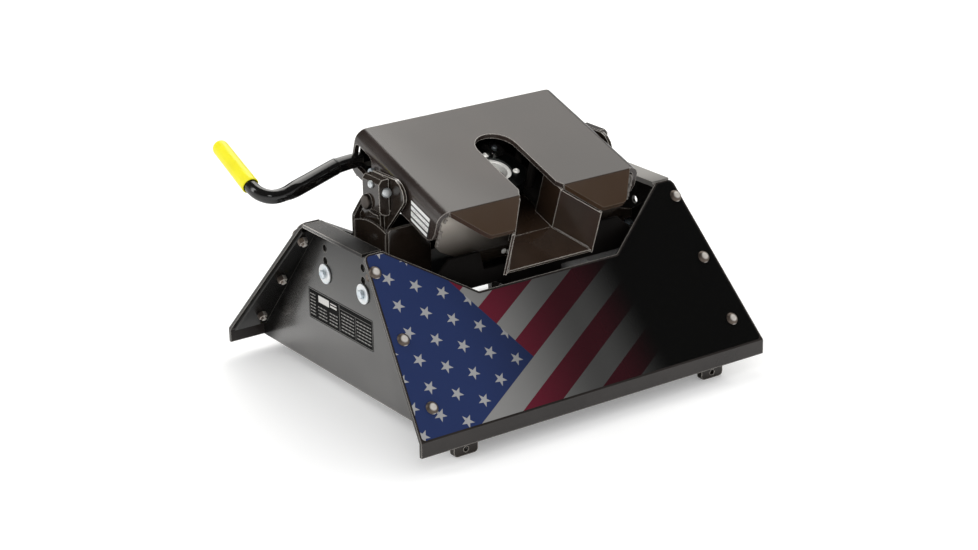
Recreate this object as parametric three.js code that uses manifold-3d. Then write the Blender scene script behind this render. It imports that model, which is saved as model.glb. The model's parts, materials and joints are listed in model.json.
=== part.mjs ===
// Fifth wheel hitch: a bolted sheet-steel base, a cradle with a rocker yoke for side
// tilt, a pitching head plate with a rotating kingpin jaw, and a pull handle.
// Millimetres. +X passenger side (right), +Y towards the cab (front), +Z up.
// Origin: centre of the rear rail seat, on the underside of the rear plate's return.
// The parts are laid out about the centre of the footprint and shifted once, at the group.
import * as THREE from 'three';
import { mergeVertices } from 'three/addons/utils/BufferGeometryUtils.js';
import Module from 'manifold-3d';

const wasm = await Module();
wasm.setup();

// ---- driving dimensions -------------------------------------------------
const SHEET = 6;               // base sheet thickness
const GAP = 0.3;               // assembly clearance
const SEAT_Y = 284;            // middle of the rail seat faces
const BASE_HALF_W = 350;       // skirt half width
const BASE_HALF_D = 305;       // skirt outer face, fore and aft
const SKIRT_H = 25.1;
const TOP_HALF_W = 314.5;      // sloping plate half width at its top
const TOP_Y = 97.8;            // sloping plate outer face at its top
const TOP_Z = 267.9;
const WEB_X = 283.5;           // outer face of the side webs
const WEB_IN = WEB_X - SHEET;  // inner face of the side webs
const PIVOT_Y = 13;            // pitch axis
const PIVOT_Z = 312;
const PIN_R = 12.7;            // pitch pin
const PIN_BORE_R = PIN_R + GAP;
const ROLL_Z = 232;            // rocker shaft height
const ROLL_BORE_R = 16.4;
const HEAD_TILT = 18.95;       // tail-down rest angle, degrees

const SIDES = [[-1, 'left'], [1, 'right']];   // sign of x, name
const ENDS = [[-1, 'rear'], [1, 'front']];    // sign of y, name

// ---- solid helpers ------------------------------------------------------
const radians = (degrees) => (degrees * Math.PI) / 180;
const degrees = (angle) => (angle * 180) / Math.PI;

function solid(geometry) {
  const bare = geometry.clone();
  bare.deleteAttribute('normal');
  bare.deleteAttribute('uv');
  const merged = mergeVertices(bare, 1e-4);
  const index = merged.index.array;
  const triangles = [];
  for (let i = 0; i < index.length; i += 3) {
    const [a, b, c] = index.slice(i, i + 3);
    if (a !== b && b !== c && a !== c) triangles.push(a, b, c);
  }
  return new wasm.Manifold(new wasm.Mesh({
    numProp: 3,
    vertProperties: new Float32Array(merged.attributes.position.array),
    triVerts: new Uint32Array(triangles),
  }));
}

function geometryOf(part) {
  const mesh = part.getMesh();
  const geometry = new THREE.BufferGeometry();
  const positions = new Float32Array(mesh.vertProperties);
  geometry.setAttribute('position', new THREE.BufferAttribute(positions, 3));
  geometry.setIndex(new THREE.BufferAttribute(new Uint32Array(mesh.triVerts), 1));
  geometry.computeVertexNormals();
  return geometry;
}

function box(x0, x1, y0, y1, z0, z1) {
  const geometry = new THREE.BoxGeometry(x1 - x0, y1 - y0, z1 - z0);
  geometry.translate((x0 + x1) / 2, (y0 + y1) / 2, (z0 + z1) / 2);
  return solid(geometry);
}

// Cylinder between two stations on an axis; a and b are its centre on the other two axes.
function cylinder(axis, a, b, from, to, radius, segments = 24) {
  const geometry = new THREE.CylinderGeometry(radius, radius, to - from, segments, 1);
  const middle = (from + to) / 2;
  if (axis === 'x') geometry.rotateZ(Math.PI / 2).translate(middle, a, b);
  else if (axis === 'y') geometry.translate(a, middle, b);
  else geometry.rotateX(Math.PI / 2).translate(a, b, middle);
  return solid(geometry);
}

// Placement whose local axes are u, v and w, with its origin at o.
const frame = (u, v, w, o) => new THREE.Matrix4()
  .makeBasis(new THREE.Vector3(...u), new THREE.Vector3(...v), new THREE.Vector3(...w))
  .setPosition(...o);

// Prism from an outline in the frame's u, v plane, grown along w.
function prism(outline, depth, placement) {
  const shape = new THREE.Shape(outline.map(([x, y]) => new THREE.Vector2(x, y)));
  const geometry = new THREE.ExtrudeGeometry(shape, { depth, bevelEnabled: false });
  return solid(geometry.applyMatrix4(placement));
}
// Prisms from an outline in a main plane, between two stations on the third axis.
const prismX = (yzOutline, x0, x1) =>
  prism(yzOutline, x1 - x0, frame([0, 1, 0], [0, 0, 1], [1, 0, 0], [x0, 0, 0]));
const prismY = (xzOutline, y0, y1) => prism(
  xzOutline.map(([x, z]) => [-x, z]),
  y1 - y0,
  frame([-1, 0, 0], [0, 0, 1], [0, 1, 0], [0, y0, 0]),
);
const prismZ = (xyOutline, z0, z1) =>
  prism(xyOutline, z1 - z0, frame([1, 0, 0], [0, 1, 0], [0, 0, 1], [0, 0, z0]));

// Points on an arc, angles in degrees.
function arc(x, y, radius, from, to, steps) {
  const points = [];
  for (let i = 0; i <= steps; i++) {
    const angle = radians(from + ((to - from) * i) / steps);
    points.push([x + radius * Math.cos(angle), y + radius * Math.sin(angle)]);
  }
  return points;
}
const hexagon = (x, y, radius) => arc(x, y, radius, 0, 300, 5);

// Lathe geometry about +Y from [radius, y] stations.
const lathe = (stations, segments) => new THREE.LatheGeometry(
  stations.map(([radius, y]) => new THREE.Vector2(radius, y)),
  segments,
);

// Round bar swept along a curve.
function sweep(extrudePath, radius, steps, curveSegments) {
  const section = new THREE.Shape();
  section.absarc(0, 0, radius, 0, Math.PI * 2, false);
  return solid(new THREE.ExtrudeGeometry(section, {
    steps, curveSegments, bevelEnabled: false, extrudePath,
  }));
}

const mirrorX = (part) => part.mirror([1, 0, 0]);
const mirrorY = (part) => part.mirror([0, 1, 0]);
const bothSides = (part) => part.add(mirrorX(part));
const flipped = (outline) => outline.map(([x, y]) => [-x, y]).reverse();

// ---- scene --------------------------------------------------------------
const group = new THREE.Group();
group.position.y = SEAT_Y;
const head = new THREE.Group();
head.position.set(0, PIVOT_Y, PIVOT_Z);
head.rotation.x = radians(HEAD_TILT);
group.add(head);

const FINISHES = {
  black: { color: 0x241f1c, roughness: 0.32, metalness: 0.35 },
  satin: { color: 0x8d8883, roughness: 0.38, metalness: 0.75 },
  zinc: { color: 0xc9d2d8, roughness: 0.3, metalness: 0.95 },
  stainless: { color: 0xbab8b2, roughness: 0.3, metalness: 0.95 },
  dark: { color: 0x2c2723, roughness: 0.45, metalness: 0.6 },
  bright: { color: 0xd8d6cf, roughness: 0.22, metalness: 1.0 },
  yellow: { color: 0xf2e421, roughness: 0.5, metalness: 0.0 },
};

function add(name, part, finish, parent = group) {
  const material = new THREE.MeshStandardMaterial(FINISHES[finish]);
  const mesh = new THREE.Mesh(geometryOf(part), material);
  mesh.name = name;
  parent.add(mesh);
}
function addPair(name, leftPart, finish) {
  add(`${name}_left`, leftPart, finish);
  add(`${name}_right`, mirrorX(leftPart), finish);
}

// ---- rear slope: the front one is its mirror image -----------------------
const SLOPE_L = Math.hypot(BASE_HALF_D - TOP_Y, TOP_Z - SKIRT_H);
const SLOPE_RUN = (BASE_HALF_D - TOP_Y) / SLOPE_L;   // forward run per unit of slope
const SLOPE_RISE = (TOP_Z - SKIRT_H) / SLOPE_L;      // rise per unit of slope
const BOLT_X = 307;                                  // carriage bolts
const BOLT_UP = { top: 286.9, mid: 168.8, low: 50.6 };   // distance up the slope
const CUT_L = 40;                                    // length of cutters through the slope

// [y, z] of a point up the slope, and out from its outer face.
const slopePoint = (up, out) => [
  -BASE_HALF_D + up * SLOPE_RUN - out * SLOPE_RISE,
  SKIRT_H + up * SLOPE_RISE + out * SLOPE_RUN,
];
// Frame with u across, v up the slope and w outwards.
const slopeFrame = (x, up, out) => frame(
  [1, 0, 0],
  [0, SLOPE_RUN, SLOPE_RISE],
  [0, -SLOPE_RISE, SLOPE_RUN],
  [x, ...slopePoint(up, out)],
);
const slopeCutter = (outline) => prism(outline, CUT_L, slopeFrame(0, 0, -CUT_L / 2));
function slopeHole(x, up) {
  const geometry = new THREE.CylinderGeometry(5.1, 5.1, CUT_L, 12, 1);
  geometry.rotateX(Math.PI / 2);
  return solid(geometry.applyMatrix4(slopeFrame(x, up, 0)));
}
const edgeX = (up) => BASE_HALF_W - ((BASE_HALF_W - TOP_HALF_W) * up) / SLOPE_L;

// ---- base plates --------------------------------------------------------
const RETURN_D = 48;           // depth of the return along the floor
const RETURN_X = 276.5;        // returns end inside the side webs
const VALLEY_UP = 213.5;       // valley of the notch, measured up the slope
const VALLEY_HALF = 141;
const NOTCH_TOP_HALF = 278;
const CORNER = 9;              // top corner cut-off
const TAB_W = 46;              // rail tabs
const TAB_T = 12;
const TAB_Y = 279.4;           // half of the 22 inch rail spacing
const TAB_X = { rear: 253.5, front: 212 };

// Plate in the rear position: floor return, skirt and slope.
function basePlate(tabX) {
  const skirtIn = -BASE_HALF_D + SHEET;
  const pastReturn = -BASE_HALF_D + 60;
  let plate = prismX([
    [-BASE_HALF_D, 0], [-BASE_HALF_D + RETURN_D, 0], [-BASE_HALF_D + RETURN_D, SHEET],
    [skirtIn, SHEET], [skirtIn, SKIRT_H - 2.5],
    slopePoint(2, -SHEET), slopePoint(SLOPE_L, -SHEET),
    slopePoint(SLOPE_L, 0), slopePoint(1.5, 0), [-BASE_HALF_D, SKIRT_H - 1.2],
  ], -BASE_HALF_W, BASE_HALF_W);
  const returnEnd = box(RETURN_X, BASE_HALF_W + 5, skirtIn, pastReturn, -5, SHEET + 0.5);
  plate = plate.subtract(bothSides(returnEnd));
  const tabSlot = box(
    tabX - TAB_W / 2 - GAP, tabX + TAB_W / 2 + GAP,
    -TAB_Y - TAB_T / 2 - GAP, pastReturn,
    -5, SHEET + 5,
  );
  plate = plate.subtract(bothSides(tabSlot));

  const notchRight = [
    [VALLEY_HALF, VALLEY_UP], [NOTCH_TOP_HALF - 3, SLOPE_L - 4],
    [NOTCH_TOP_HALF + 3, SLOPE_L + 2], [NOTCH_TOP_HALF + 3, SLOPE_L + 20],
  ];
  plate = plate.subtract(slopeCutter([...notchRight, ...flipped(notchRight)]));

  // tapered side edge with a clipped top corner
  const topX = edgeX(SLOPE_L);
  const farX = 420;
  const sideCut = [
    [BASE_HALF_W, 0], [edgeX(SLOPE_L - CORNER), SLOPE_L - CORNER],
    [topX - CORNER * 0.3, SLOPE_L - CORNER * 0.3], [topX - CORNER, SLOPE_L],
    [topX - CORNER, SLOPE_L + 20], [farX, SLOPE_L + 20], [farX, 0],
  ];
  plate = plate.subtract(slopeCutter(sideCut)).subtract(slopeCutter(flipped(sideCut)));
  for (const side of [1, -1]) {
    for (const up of Object.values(BOLT_UP)) plate = plate.subtract(slopeHole(side * BOLT_X, up));
  }
  return plate;
}
add('rear_plate', basePlate(TAB_X.rear), 'black');
add('front_plate', mirrorY(basePlate(TAB_X.front)), 'black');

// ---- side panels --------------------------------------------------------
const TOP_FLANGE_X = 314;
const TOP_FLANGE_Y = 91;
const COL_Y = { front: 75, rear: -43 };   // height hole columns
const COL_Z = [179, 201.5, 223.5];
const HEIGHT_HOLE_R = 6.8;

function sidePanel() {                       // driver side
  const under = -SHEET - GAP;                // just beneath the base plate
  const [y0, z0] = slopePoint(0, under);
  const topY = y0 + ((TOP_Z - z0) * SLOPE_RUN) / SLOPE_RISE;
  const lowY = -BASE_HALF_D + SHEET + GAP;
  const lowZ = z0 + ((lowY - y0) * SLOPE_RISE) / SLOPE_RUN;
  const web = prismX([
    [lowY, 0], [-lowY, 0], [-lowY, lowZ], [-topY, TOP_Z], [topY, TOP_Z], [lowY, lowZ],
  ], -WEB_X, -WEB_IN);
  const topFlange = box(
    -TOP_FLANGE_X, -WEB_IN, -TOP_FLANGE_Y, TOP_FLANGE_Y, TOP_Z - SHEET, TOP_Z,
  );

  const flangeLow = 8, flangeHigh = SLOPE_L - 12, inset = 4;
  let flange = prism([
    [-edgeX(flangeLow) + inset, flangeLow], [-WEB_IN, flangeLow],
    [-WEB_IN, flangeHigh], [-edgeX(flangeHigh) + inset, flangeHigh],
  ], SHEET, slopeFrame(0, 0, under - SHEET));
  for (const up of Object.values(BOLT_UP)) flange = flange.subtract(slopeHole(-BOLT_X, up));

  let panel = web.add(topFlange).add(flange).add(mirrorY(flange));
  for (const y of Object.values(COL_Y)) for (const z of COL_Z) {
    panel = panel.subtract(cylinder('x', y, z, -WEB_X - 5, -WEB_IN + 5, HEIGHT_HOLE_R, 14));
  }
  return panel;
}
addPair('side_panel', sidePanel(), 'black');

// ---- rail tabs ----------------------------------------------------------
function railTab(x, y) {
  const drop = 27, corner = 7;
  const edge = TAB_W / 2;
  const outline = [
    ...arc(x - edge + corner, -drop + corner, corner, 180, 270, 3),
    ...arc(x + edge - corner, -drop + corner, corner, 270, 360, 3),
    [x + edge, SHEET], [x - edge, SHEET],
  ];
  return prismY(outline, y - TAB_T / 2, y + TAB_T / 2)
    .subtract(cylinder('y', x, -17, y - 20, y + 20, 4.6, 16));
}
for (const [endSign, end] of ENDS) for (const [sideSign, side] of SIDES) {
  add(`rail_tab_${end}_${side}`, railTab(sideSign * TAB_X[end], endSign * TAB_Y), 'black');
}

// ---- carriage bolts, one body each with its nut -------------------------
function carriageBolt() {                    // +Z points out of the plate face
  const shankR = 4.8, nutR = 9.3, nutL = 9;
  const nutFace = -SHEET * 2 - 2 * GAP;
  const geometry = lathe([
    [0, -26], [shankR, -26], [shankR, nutFace - nutL], [nutR, nutFace - nutL],
    [nutR, nutFace], [shankR, nutFace], [shankR, GAP],
    [11, GAP], [10.2, 3], [6.5, 5.6], [0, 6.7],
  ], 12);
  return solid(geometry.rotateX(Math.PI / 2));
}
const looseBolt = carriageBolt();
for (const [sideSign, side] of SIDES) for (const [level, up] of Object.entries(BOLT_UP)) {
  const placement = slopeFrame(sideSign * BOLT_X, up, 0);
  const rearBolt = solid(geometryOf(looseBolt).applyMatrix4(placement));
  add(`bolt_rear_${side}_${level}`, rearBolt, 'stainless');
  add(`bolt_front_${side}_${level}`, mirrorY(rearBolt), 'stainless');
}

// ---- height bolts and washers, in the lowest holes -----------------------
const HEIGHT_BOLT_Z = COL_Z[0];
const WASHER_T = 3.2;

function heightWasher(y) {                   // driver side
  return cylinder('x', y, HEIGHT_BOLT_Z, -WEB_X - GAP - WASHER_T, -WEB_X - GAP, 17.4)
    .subtract(cylinder('x', y, HEIGHT_BOLT_Z, -WEB_X - 10, -WEB_X + 5, 6.7, 12));
}
function heightBolt(y) {                     // driver side
  const hexR = 10.8, headL = 6, nutL = 11;
  const seat = -WEB_X - GAP * 2 - WASHER_T;  // underside of the bolt head
  const nutFace = -WEB_X + 2 * SHEET + 3 * GAP;
  const shank = cylinder('x', y, HEIGHT_BOLT_Z, seat, -WEB_X + 27, 6.2, 12);
  return shank
    .add(prismX(hexagon(y, HEIGHT_BOLT_Z, hexR), seat - headL, seat))
    .add(cylinder('x', y, HEIGHT_BOLT_Z, nutFace, nutFace + nutL, hexR, 6));
}
for (const [sideSign, side] of SIDES) for (const [end, y] of Object.entries(COL_Y)) {
  const toSide = (part) => (sideSign < 0 ? part : mirrorX(part));
  add(`height_washer_${side}_${end}`, toSide(heightWasher(y)), 'zinc');
  add(`height_bolt_${side}_${end}`, toSide(heightBolt(y)), 'zinc');
}

// ---- cradle -------------------------------------------------------------
const CRADLE_REAR = -130;
const CRADLE_FRONT = 118;
const CRADLE_Z = 180;                        // underside of the trough
const CRADLE_TOP = 238;
const CRADLE_FLOOR = CRADLE_Z + SHEET;
const END_OUT = WEB_IN - GAP;                // outer face of the cradle end plate
const END_IN = END_OUT - SHEET;

function cradleTrough() {
  const frontTop = 222;
  const rearIn = CRADLE_REAR + SHEET, frontIn = CRADLE_FRONT - SHEET;
  const above = CRADLE_TOP + 20;
  const throughRearWall = (outline) => prismY(outline, CRADLE_REAR - 5, CRADLE_REAR + 30);
  let trough = prismX([
    [CRADLE_REAR, CRADLE_Z], [CRADLE_FRONT, CRADLE_Z],
    [CRADLE_FRONT, frontTop], [frontIn, frontTop], [frontIn, CRADLE_FLOOR],
    [rearIn, CRADLE_FLOOR], [rearIn, CRADLE_TOP], [CRADLE_REAR, CRADLE_TOP],
  ], -END_IN + GAP, END_IN - GAP);
  // middle dip and lowered ends of the rear wall
  trough = trough.subtract(throughRearWall([[-118, above], [-104, 206], [104, 206], [118, above]]));
  const loweredEnd = throughRearWall([
    [172, above], [172, CRADLE_TOP], [200, 212], [290, 212], [290, above],
  ]);
  trough = trough.subtract(bothSides(loweredEnd));
  // clearance hole for the roll shaft in the front wall
  trough = trough.subtract(
    cylinder('y', 0, ROLL_Z, CRADLE_FRONT - 20, CRADLE_FRONT + 20, ROLL_BORE_R),
  );
  // keel under the middle of the trough
  trough = trough.add(box(-52.5, 52.5, CRADLE_REAR, CRADLE_REAR + 66, CRADLE_Z - 20, CRADLE_Z + 1));
  // relief for the height bolt nuts
  for (const y of Object.values(COL_Y)) {
    const relief = box(255, 280, y - 14, y + 14, CRADLE_Z - 2, CRADLE_FLOOR + 4);
    trough = trough.subtract(bothSides(relief));
  }
  return trough;
}
add('cradle_trough', cradleTrough(), 'black');

function cradleEnd() {                       // driver side, with a dished top edge
  const low = 152, shoulder = 226;
  let plate = prismX([
    [CRADLE_REAR + 12, low], [CRADLE_FRONT - 12, low], [CRADLE_FRONT - 2, 166],
    [CRADLE_FRONT - 2, 214], [CRADLE_FRONT - 14, shoulder],
    ...arc(PIVOT_Y, 330, 134, 309.1, 230.9, 14),
    [CRADLE_REAR + 26, shoulder], [CRADLE_REAR + 2, 206], [CRADLE_REAR + 2, 166],
  ], -END_OUT, -END_IN);
  for (const y of Object.values(COL_Y)) {
    plate = plate.subtract(cylinder('x', y, HEIGHT_BOLT_Z, -END_OUT - 5, -END_IN + 5, 6.9, 12));
  }
  return plate;
}
addPair('cradle_end', cradleEnd(), 'black');

// Cheeks: upright plates across the trough ends. Outlines are [x, z], driver side.
const FOOT_Z = CRADLE_FLOOR + GAP;           // just above the trough floor
const CHEEK_REAR = [-44, -36];               // y faces
const CHEEK_FRONT = [62, 70];
const CHEEK_OUTER_EDGE = [
  [-254, FOOT_Z], [-254, 192], [-END_IN + GAP, 192], [-END_IN + GAP, 208],
  [-246, 214], [-236, 222],
];
const CHEEK_FRONT_OUTLINE = [
  ...CHEEK_OUTER_EDGE,
  [-232, 232], [-232, 272], [-230, 277], [-214, 299], [-209.4, 301], [-209.4, 262],
  [-200, 254], [-172, 250], [-158, 240], [-150, FOOT_Z],
];
const CHEEK_REAR_OUTLINE = [
  ...CHEEK_OUTER_EDGE,
  [-233, 232], [-233, 272], [-229, 277], [-166, 277], [-164, 252], [-150, 240], [-150, FOOT_Z],
];
addPair('cheek_rear', prismY(CHEEK_REAR_OUTLINE, ...CHEEK_REAR), 'black');
addPair('cheek_front', prismY(CHEEK_FRONT_OUTLINE, ...CHEEK_FRONT), 'black');

// Plate between the cheeks, driver side, with an arched top edge.
function saddle() {
  const rearY = CHEEK_REAR[1] + GAP, frontY = CHEEK_FRONT[0] - GAP;
  const crown = 277, rise = 9;
  const middle = (rearY + frontY) / 2;
  const halfChord = (frontY - rearY) / 2 - 1;
  const radius = (halfChord * halfChord + rise * rise) / (2 * rise);
  const halfAngle = degrees(Math.asin(halfChord / radius));
  return prismX([
    [rearY, FOOT_Z], [frontY, FOOT_Z], [frontY, crown - rise],
    ...arc(middle, crown - radius, radius, 90 - halfAngle, 90 + halfAngle, 14),
    [rearY, crown - rise],
  ], -231.7, -226);
}
addPair('saddle', saddle(), 'black');

// Headed stub shaft carried by the front wall and a centre pedestal.
function rollShaft() {
  const pedestalRear = -50, pedestalFront = -38;
  return cylinder('y', 0, ROLL_Z, pedestalFront, CRADLE_FRONT + 6, 16)
    .add(cylinder('y', 0, ROLL_Z, CRADLE_FRONT + GAP, CRADLE_FRONT + 12, 24, 6))
    .add(cylinder('y', 0, ROLL_Z, pedestalRear, -34, 22))
    .add(box(-26, 26, pedestalRear, pedestalFront, FOOT_Z, ROLL_Z));
}
add('roll_shaft', rollShaft(), 'dark');

// ---- rocker yoke --------------------------------------------------------
const BEAM_REAR = -12;
const BEAM_FRONT = 38;
const UPRIGHT_IN = 207;                      // inner and outer x of the block uprights
const UPRIGHT_OUT = 221;
const BEAM_HALF = UPRIGHT_IN - GAP;

function rockerBeam() {
  const bar = prismY([
    [-BEAM_HALF, 216], [-60, 210], [60, 210], [BEAM_HALF, 216],
    [BEAM_HALF, 250], [60, 256], [-60, 256], [-BEAM_HALF, 250],
  ], BEAM_REAR, BEAM_FRONT);
  // gussets rising at each end, beside the pivot blocks
  const gusset = prismY([
    [-BEAM_HALF, 240], [-128, 240], [-128, 262], [-160, 268], [-172, 289], [-BEAM_HALF, 289],
  ], BEAM_FRONT - 8, BEAM_FRONT);
  const hub = cylinder('y', 0, ROLL_Z, BEAM_REAR - 14, BEAM_FRONT + 14, 27);
  return bar.add(bothSides(gusset)).add(hub)
    .subtract(cylinder('y', 0, ROLL_Z, -60, 90, ROLL_BORE_R));
}
add('rocker_beam', rockerBeam(), 'black');

const BLOCK_REAR = -22;
const BLOCK_FRONT = 28;
const BLOCK_OUT = -234;                      // outer x face, driver side
const BLOCK_BOLT = { x: -220.9, z: 334 };    // runs along y
const KEEPER_BOLT = { y: 0, z: 345 };        // runs along x

function pivotBlock() {                      // driver side
  const upright = prismY([
    [-UPRIGHT_OUT, 212], [-UPRIGHT_IN, 212], [-UPRIGHT_IN, 352], [-211, 356], [-UPRIGHT_OUT, 356],
  ], BLOCK_REAR + 20, BLOCK_FRONT);
  const frontWing = prismX([
    [BLOCK_FRONT - 1, 240], [61, 240], [61, 276], [48, 292], [36, 297], [BLOCK_FRONT - 1, 297],
  ], -UPRIGHT_OUT, -UPRIGHT_IN);
  // ear plate, swept back behind the block
  const ear = prismX([
    [BLOCK_FRONT, 240], [BLOCK_FRONT, 357], [-38, 358], [-50, 353], [-58, 345],
    [-62.5, 335], [-62, 325], [-57, 318], [-6, 262], [-6, 240],
  ], -213, -UPRIGHT_IN);
  const block = prismY([
    [-221.5, 294], [-215, 294], [-215, 356], [-228, 356],
    [BLOCK_OUT, 349], [BLOCK_OUT, 302], [-230, 297],
  ], BLOCK_REAR, BLOCK_FRONT);
  const { x, z } = BLOCK_BOLT;
  return upright.add(frontWing).add(block).add(ear)
    .subtract(cylinder('x', PIVOT_Y, PIVOT_Z, -260, -190, PIN_BORE_R))
    .subtract(cylinder('y', x, z, BLOCK_REAR - 1, BLOCK_FRONT + 1, 5.3, 16))
    .subtract(cylinder('x', KEEPER_BOLT.y, KEEPER_BOLT.z, -250, -222, 4.6, 12));
}
addPair('pivot_block', pivotBlock(), 'black');

function blockBolt() {
  const { x, z } = BLOCK_BOLT;
  const section = hexagon(x, z, 7.6);
  const headL = 5, nutL = 8;
  return cylinder('y', x, z, BLOCK_REAR - 1, BLOCK_FRONT + 12, 5, 16)
    .add(prismY(section, BLOCK_REAR - GAP - headL, BLOCK_REAR - GAP))
    .add(prismY(section, BLOCK_FRONT + GAP, BLOCK_FRONT + GAP + nutL));
}
addPair('block_bolt', blockBolt(), 'zinc');

function keeperBolt() {
  const { y, z } = KEEPER_BOLT;
  const headL = 4.5;
  return cylinder('x', y, z, -236, -224, 4.3, 12)
    .add(prismX(hexagon(y, z, 6.6), BLOCK_OUT - GAP - headL, BLOCK_OUT - GAP));
}
addPair('keeper_bolt', keeperBolt(), 'zinc');

function pitchPin() {                        // chamfered at both ends
  const outer = -241, inner = -150.2, chamfer = 1.6;
  const geometry = lathe([
    [0, outer], [PIN_R - chamfer, outer], [PIN_R, outer + chamfer],
    [PIN_R, inner - chamfer], [PIN_R - chamfer, inner], [0, inner],
  ], 24);
  return solid(geometry.rotateZ(-Math.PI / 2).translate(0, PIVOT_Y, PIVOT_Z));
}
addPair('pitch_pin', pitchPin(), 'dark');

// ---- head ---------------------------------------------------------------
// Head frame: x across, y along the plate towards its front edge, z out of its top face,
// origin on the pitch axis. Everything below is placed in it.
const PLATE_TOP = 66;          // top face of the head
const PLATE_T = 9;
const PLATE_UNDER = PLATE_TOP - PLATE_T;
const PARTS_TOP = PLATE_UNDER - GAP;   // top of the parts that meet the plate
const HEAD_REAR = -148;
const HEAD_FRONT = 106;
const HEAD_FLAT = 183;         // half width of the flat top face
const BEND_R = 20;
const HEAD_OUT = HEAD_FLAT + BEND_R;
const KING_Y = -16;            // kingpin centre
const SLOT_R = 37.5;
const RAMP_ANGLE = radians(17.2);
const RAMP_L = 61.6;
const RAMP_RUN = RAMP_L * Math.cos(RAMP_ANGLE);
const RAMP_DROP = RAMP_L * Math.sin(RAMP_ANGLE);
const THROAT = 41;             // half width between the throat walls
const THROAT_OUT = 87.4;       // and at the end of their flare
const BELLY_TOP = -20;         // belly pan faces
const BELLY_T = 6;
const BELLY_UNDER = BELLY_TOP - BELLY_T;

// Frame with v running rearwards and down from the rear edge, w into the sheet.
const rampFrame = (z) => frame(
  [1, 0, 0],
  [0, -Math.cos(RAMP_ANGLE), -Math.sin(RAMP_ANGLE)],
  [0, Math.sin(RAMP_ANGLE), -Math.cos(RAMP_ANGLE)],
  [0, HEAD_REAR, z],
);

// Underside of both side flanges, as a cutter: [y, z].
const FLANGE_CUT = [
  [HEAD_REAR - 5, 26], [HEAD_REAR, 26], [HEAD_REAR + 5, 12], [HEAD_REAR + 16, 5],
  [HEAD_REAR + 30, 4], [-31, 4], [-22, -11], [-12, -18], [12, -18], [22, -11], [31, 4],
  [44, 4], [50, -3], [60, -9], [72, -10.5], [90, -10.5], [100, -7],
  [HEAD_FRONT, 2], [HEAD_FRONT + 5, 2], [HEAD_FRONT + 5, -40], [HEAD_REAR - 5, -40],
];
// Guide ramp, passenger side: [x, distance down the ramp].
const RAMP_OUTLINE = [
  [44, 0], [HEAD_FLAT, 0], [142, RAMP_L - 7], [136, RAMP_L - 1.5], [131, RAMP_L],
  [93, RAMP_L], [88, RAMP_L - 1.5], [84.5, RAMP_L - 6],
];

function headPlate() {
  const bendZ = PLATE_TOP - BEND_R;
  const rightHalf = [
    ...arc(HEAD_FLAT, bendZ, BEND_R, 90, 0, 8),
    [HEAD_OUT, -20], [HEAD_OUT - PLATE_T, -20],
    ...arc(HEAD_FLAT, bendZ, BEND_R - PLATE_T, 0, 90, 6),
  ];
  let plate = prismY([...rightHalf, ...flipped(rightHalf)], HEAD_REAR, HEAD_FRONT);
  plate = plate.subtract(prismX(FLANGE_CUT, -HEAD_OUT - 5, HEAD_OUT + 5));
  // handle window, driver side
  const handleWindow = [
    ...arc(53, 9, 6, 180, 270, 3), ...arc(97, 8, 5, 270, 360, 3),
    ...arc(92, 34, 10, 0, 90, 3), ...arc(60, 31, 13, 90, 180, 3),
  ];
  plate = plate.subtract(prismX(handleWindow, -HEAD_OUT - 5, -HEAD_OUT + 25));
  plate = plate.subtract(cylinder('x', 0, 0, -260, 260, PIN_BORE_R));
  const kingpinSlot = [
    [-46, HEAD_REAR - 5], [46, HEAD_REAR - 5], [44, HEAD_REAR + 2], [SLOT_R, HEAD_REAR + 13],
    ...arc(0, KING_Y, SLOT_R, 0, 180, 20), [-SLOT_R, HEAD_REAR + 13], [-44, HEAD_REAR + 2],
  ];
  plate = plate.subtract(prismZ(kingpinSlot, PLATE_UNDER - 10, PLATE_TOP + 10));
  // rear guide ramps, each with a filler along its bend
  const ramp = prism(RAMP_OUTLINE, PLATE_T, rampFrame(PLATE_TOP));
  const filler = prismX([
    [HEAD_REAR + 0.5, PLATE_TOP], [HEAD_REAR + 0.5, PLATE_UNDER],
    [HEAD_REAR - 2.7, PLATE_UNDER + 0.3], [HEAD_REAR - 0.5, PLATE_TOP - 0.2],
  ], 44.5, HEAD_FLAT - 0.5);
  return plate.add(bothSides(ramp.add(filler)));
}
add('head_plate', headPlate(), 'satin', head);

// Bottom plate with upturned sides and a folded rear lip.
function bellyPan() {
  const wallIn = 150, wallOut = wallIn + 8, front = 96;
  const neck = THROAT - GAP, lipEnd = THROAT_OUT - 3.2;
  const floorRight = [
    [neck, HEAD_REAR], [neck, HEAD_REAR + 50], [118, HEAD_REAR + 50],
    [wallOut, -70], [wallOut, front],
  ];
  const floor = prismZ([...floorRight, ...flipped(floorRight)], BELLY_UNDER, BELLY_TOP);
  const wall = prismX([
    [-66, BELLY_UNDER], [front, BELLY_UNDER], [front, 30],
    [84, PARTS_TOP], [-54, PARTS_TOP], [-66, 44],
  ], wallIn, wallOut);
  const lipRight = [[neck, -1], [neck, 2], [lipEnd, RAMP_L - 1]];
  const lip = prism([...lipRight, ...flipped(lipRight)], BELLY_T, rampFrame(BELLY_TOP));
  // the handle passes the driver side wall
  return floor.add(bothSides(wall)).add(lip)
    .subtract(box(-wallIn - 20, -wallIn + 10, 77, 110, 3, 21))
    .subtract(cylinder('x', 0, 0, -200, 200, PIN_BORE_R));
}
add('belly_pan', bellyPan(), 'black', head);

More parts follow.
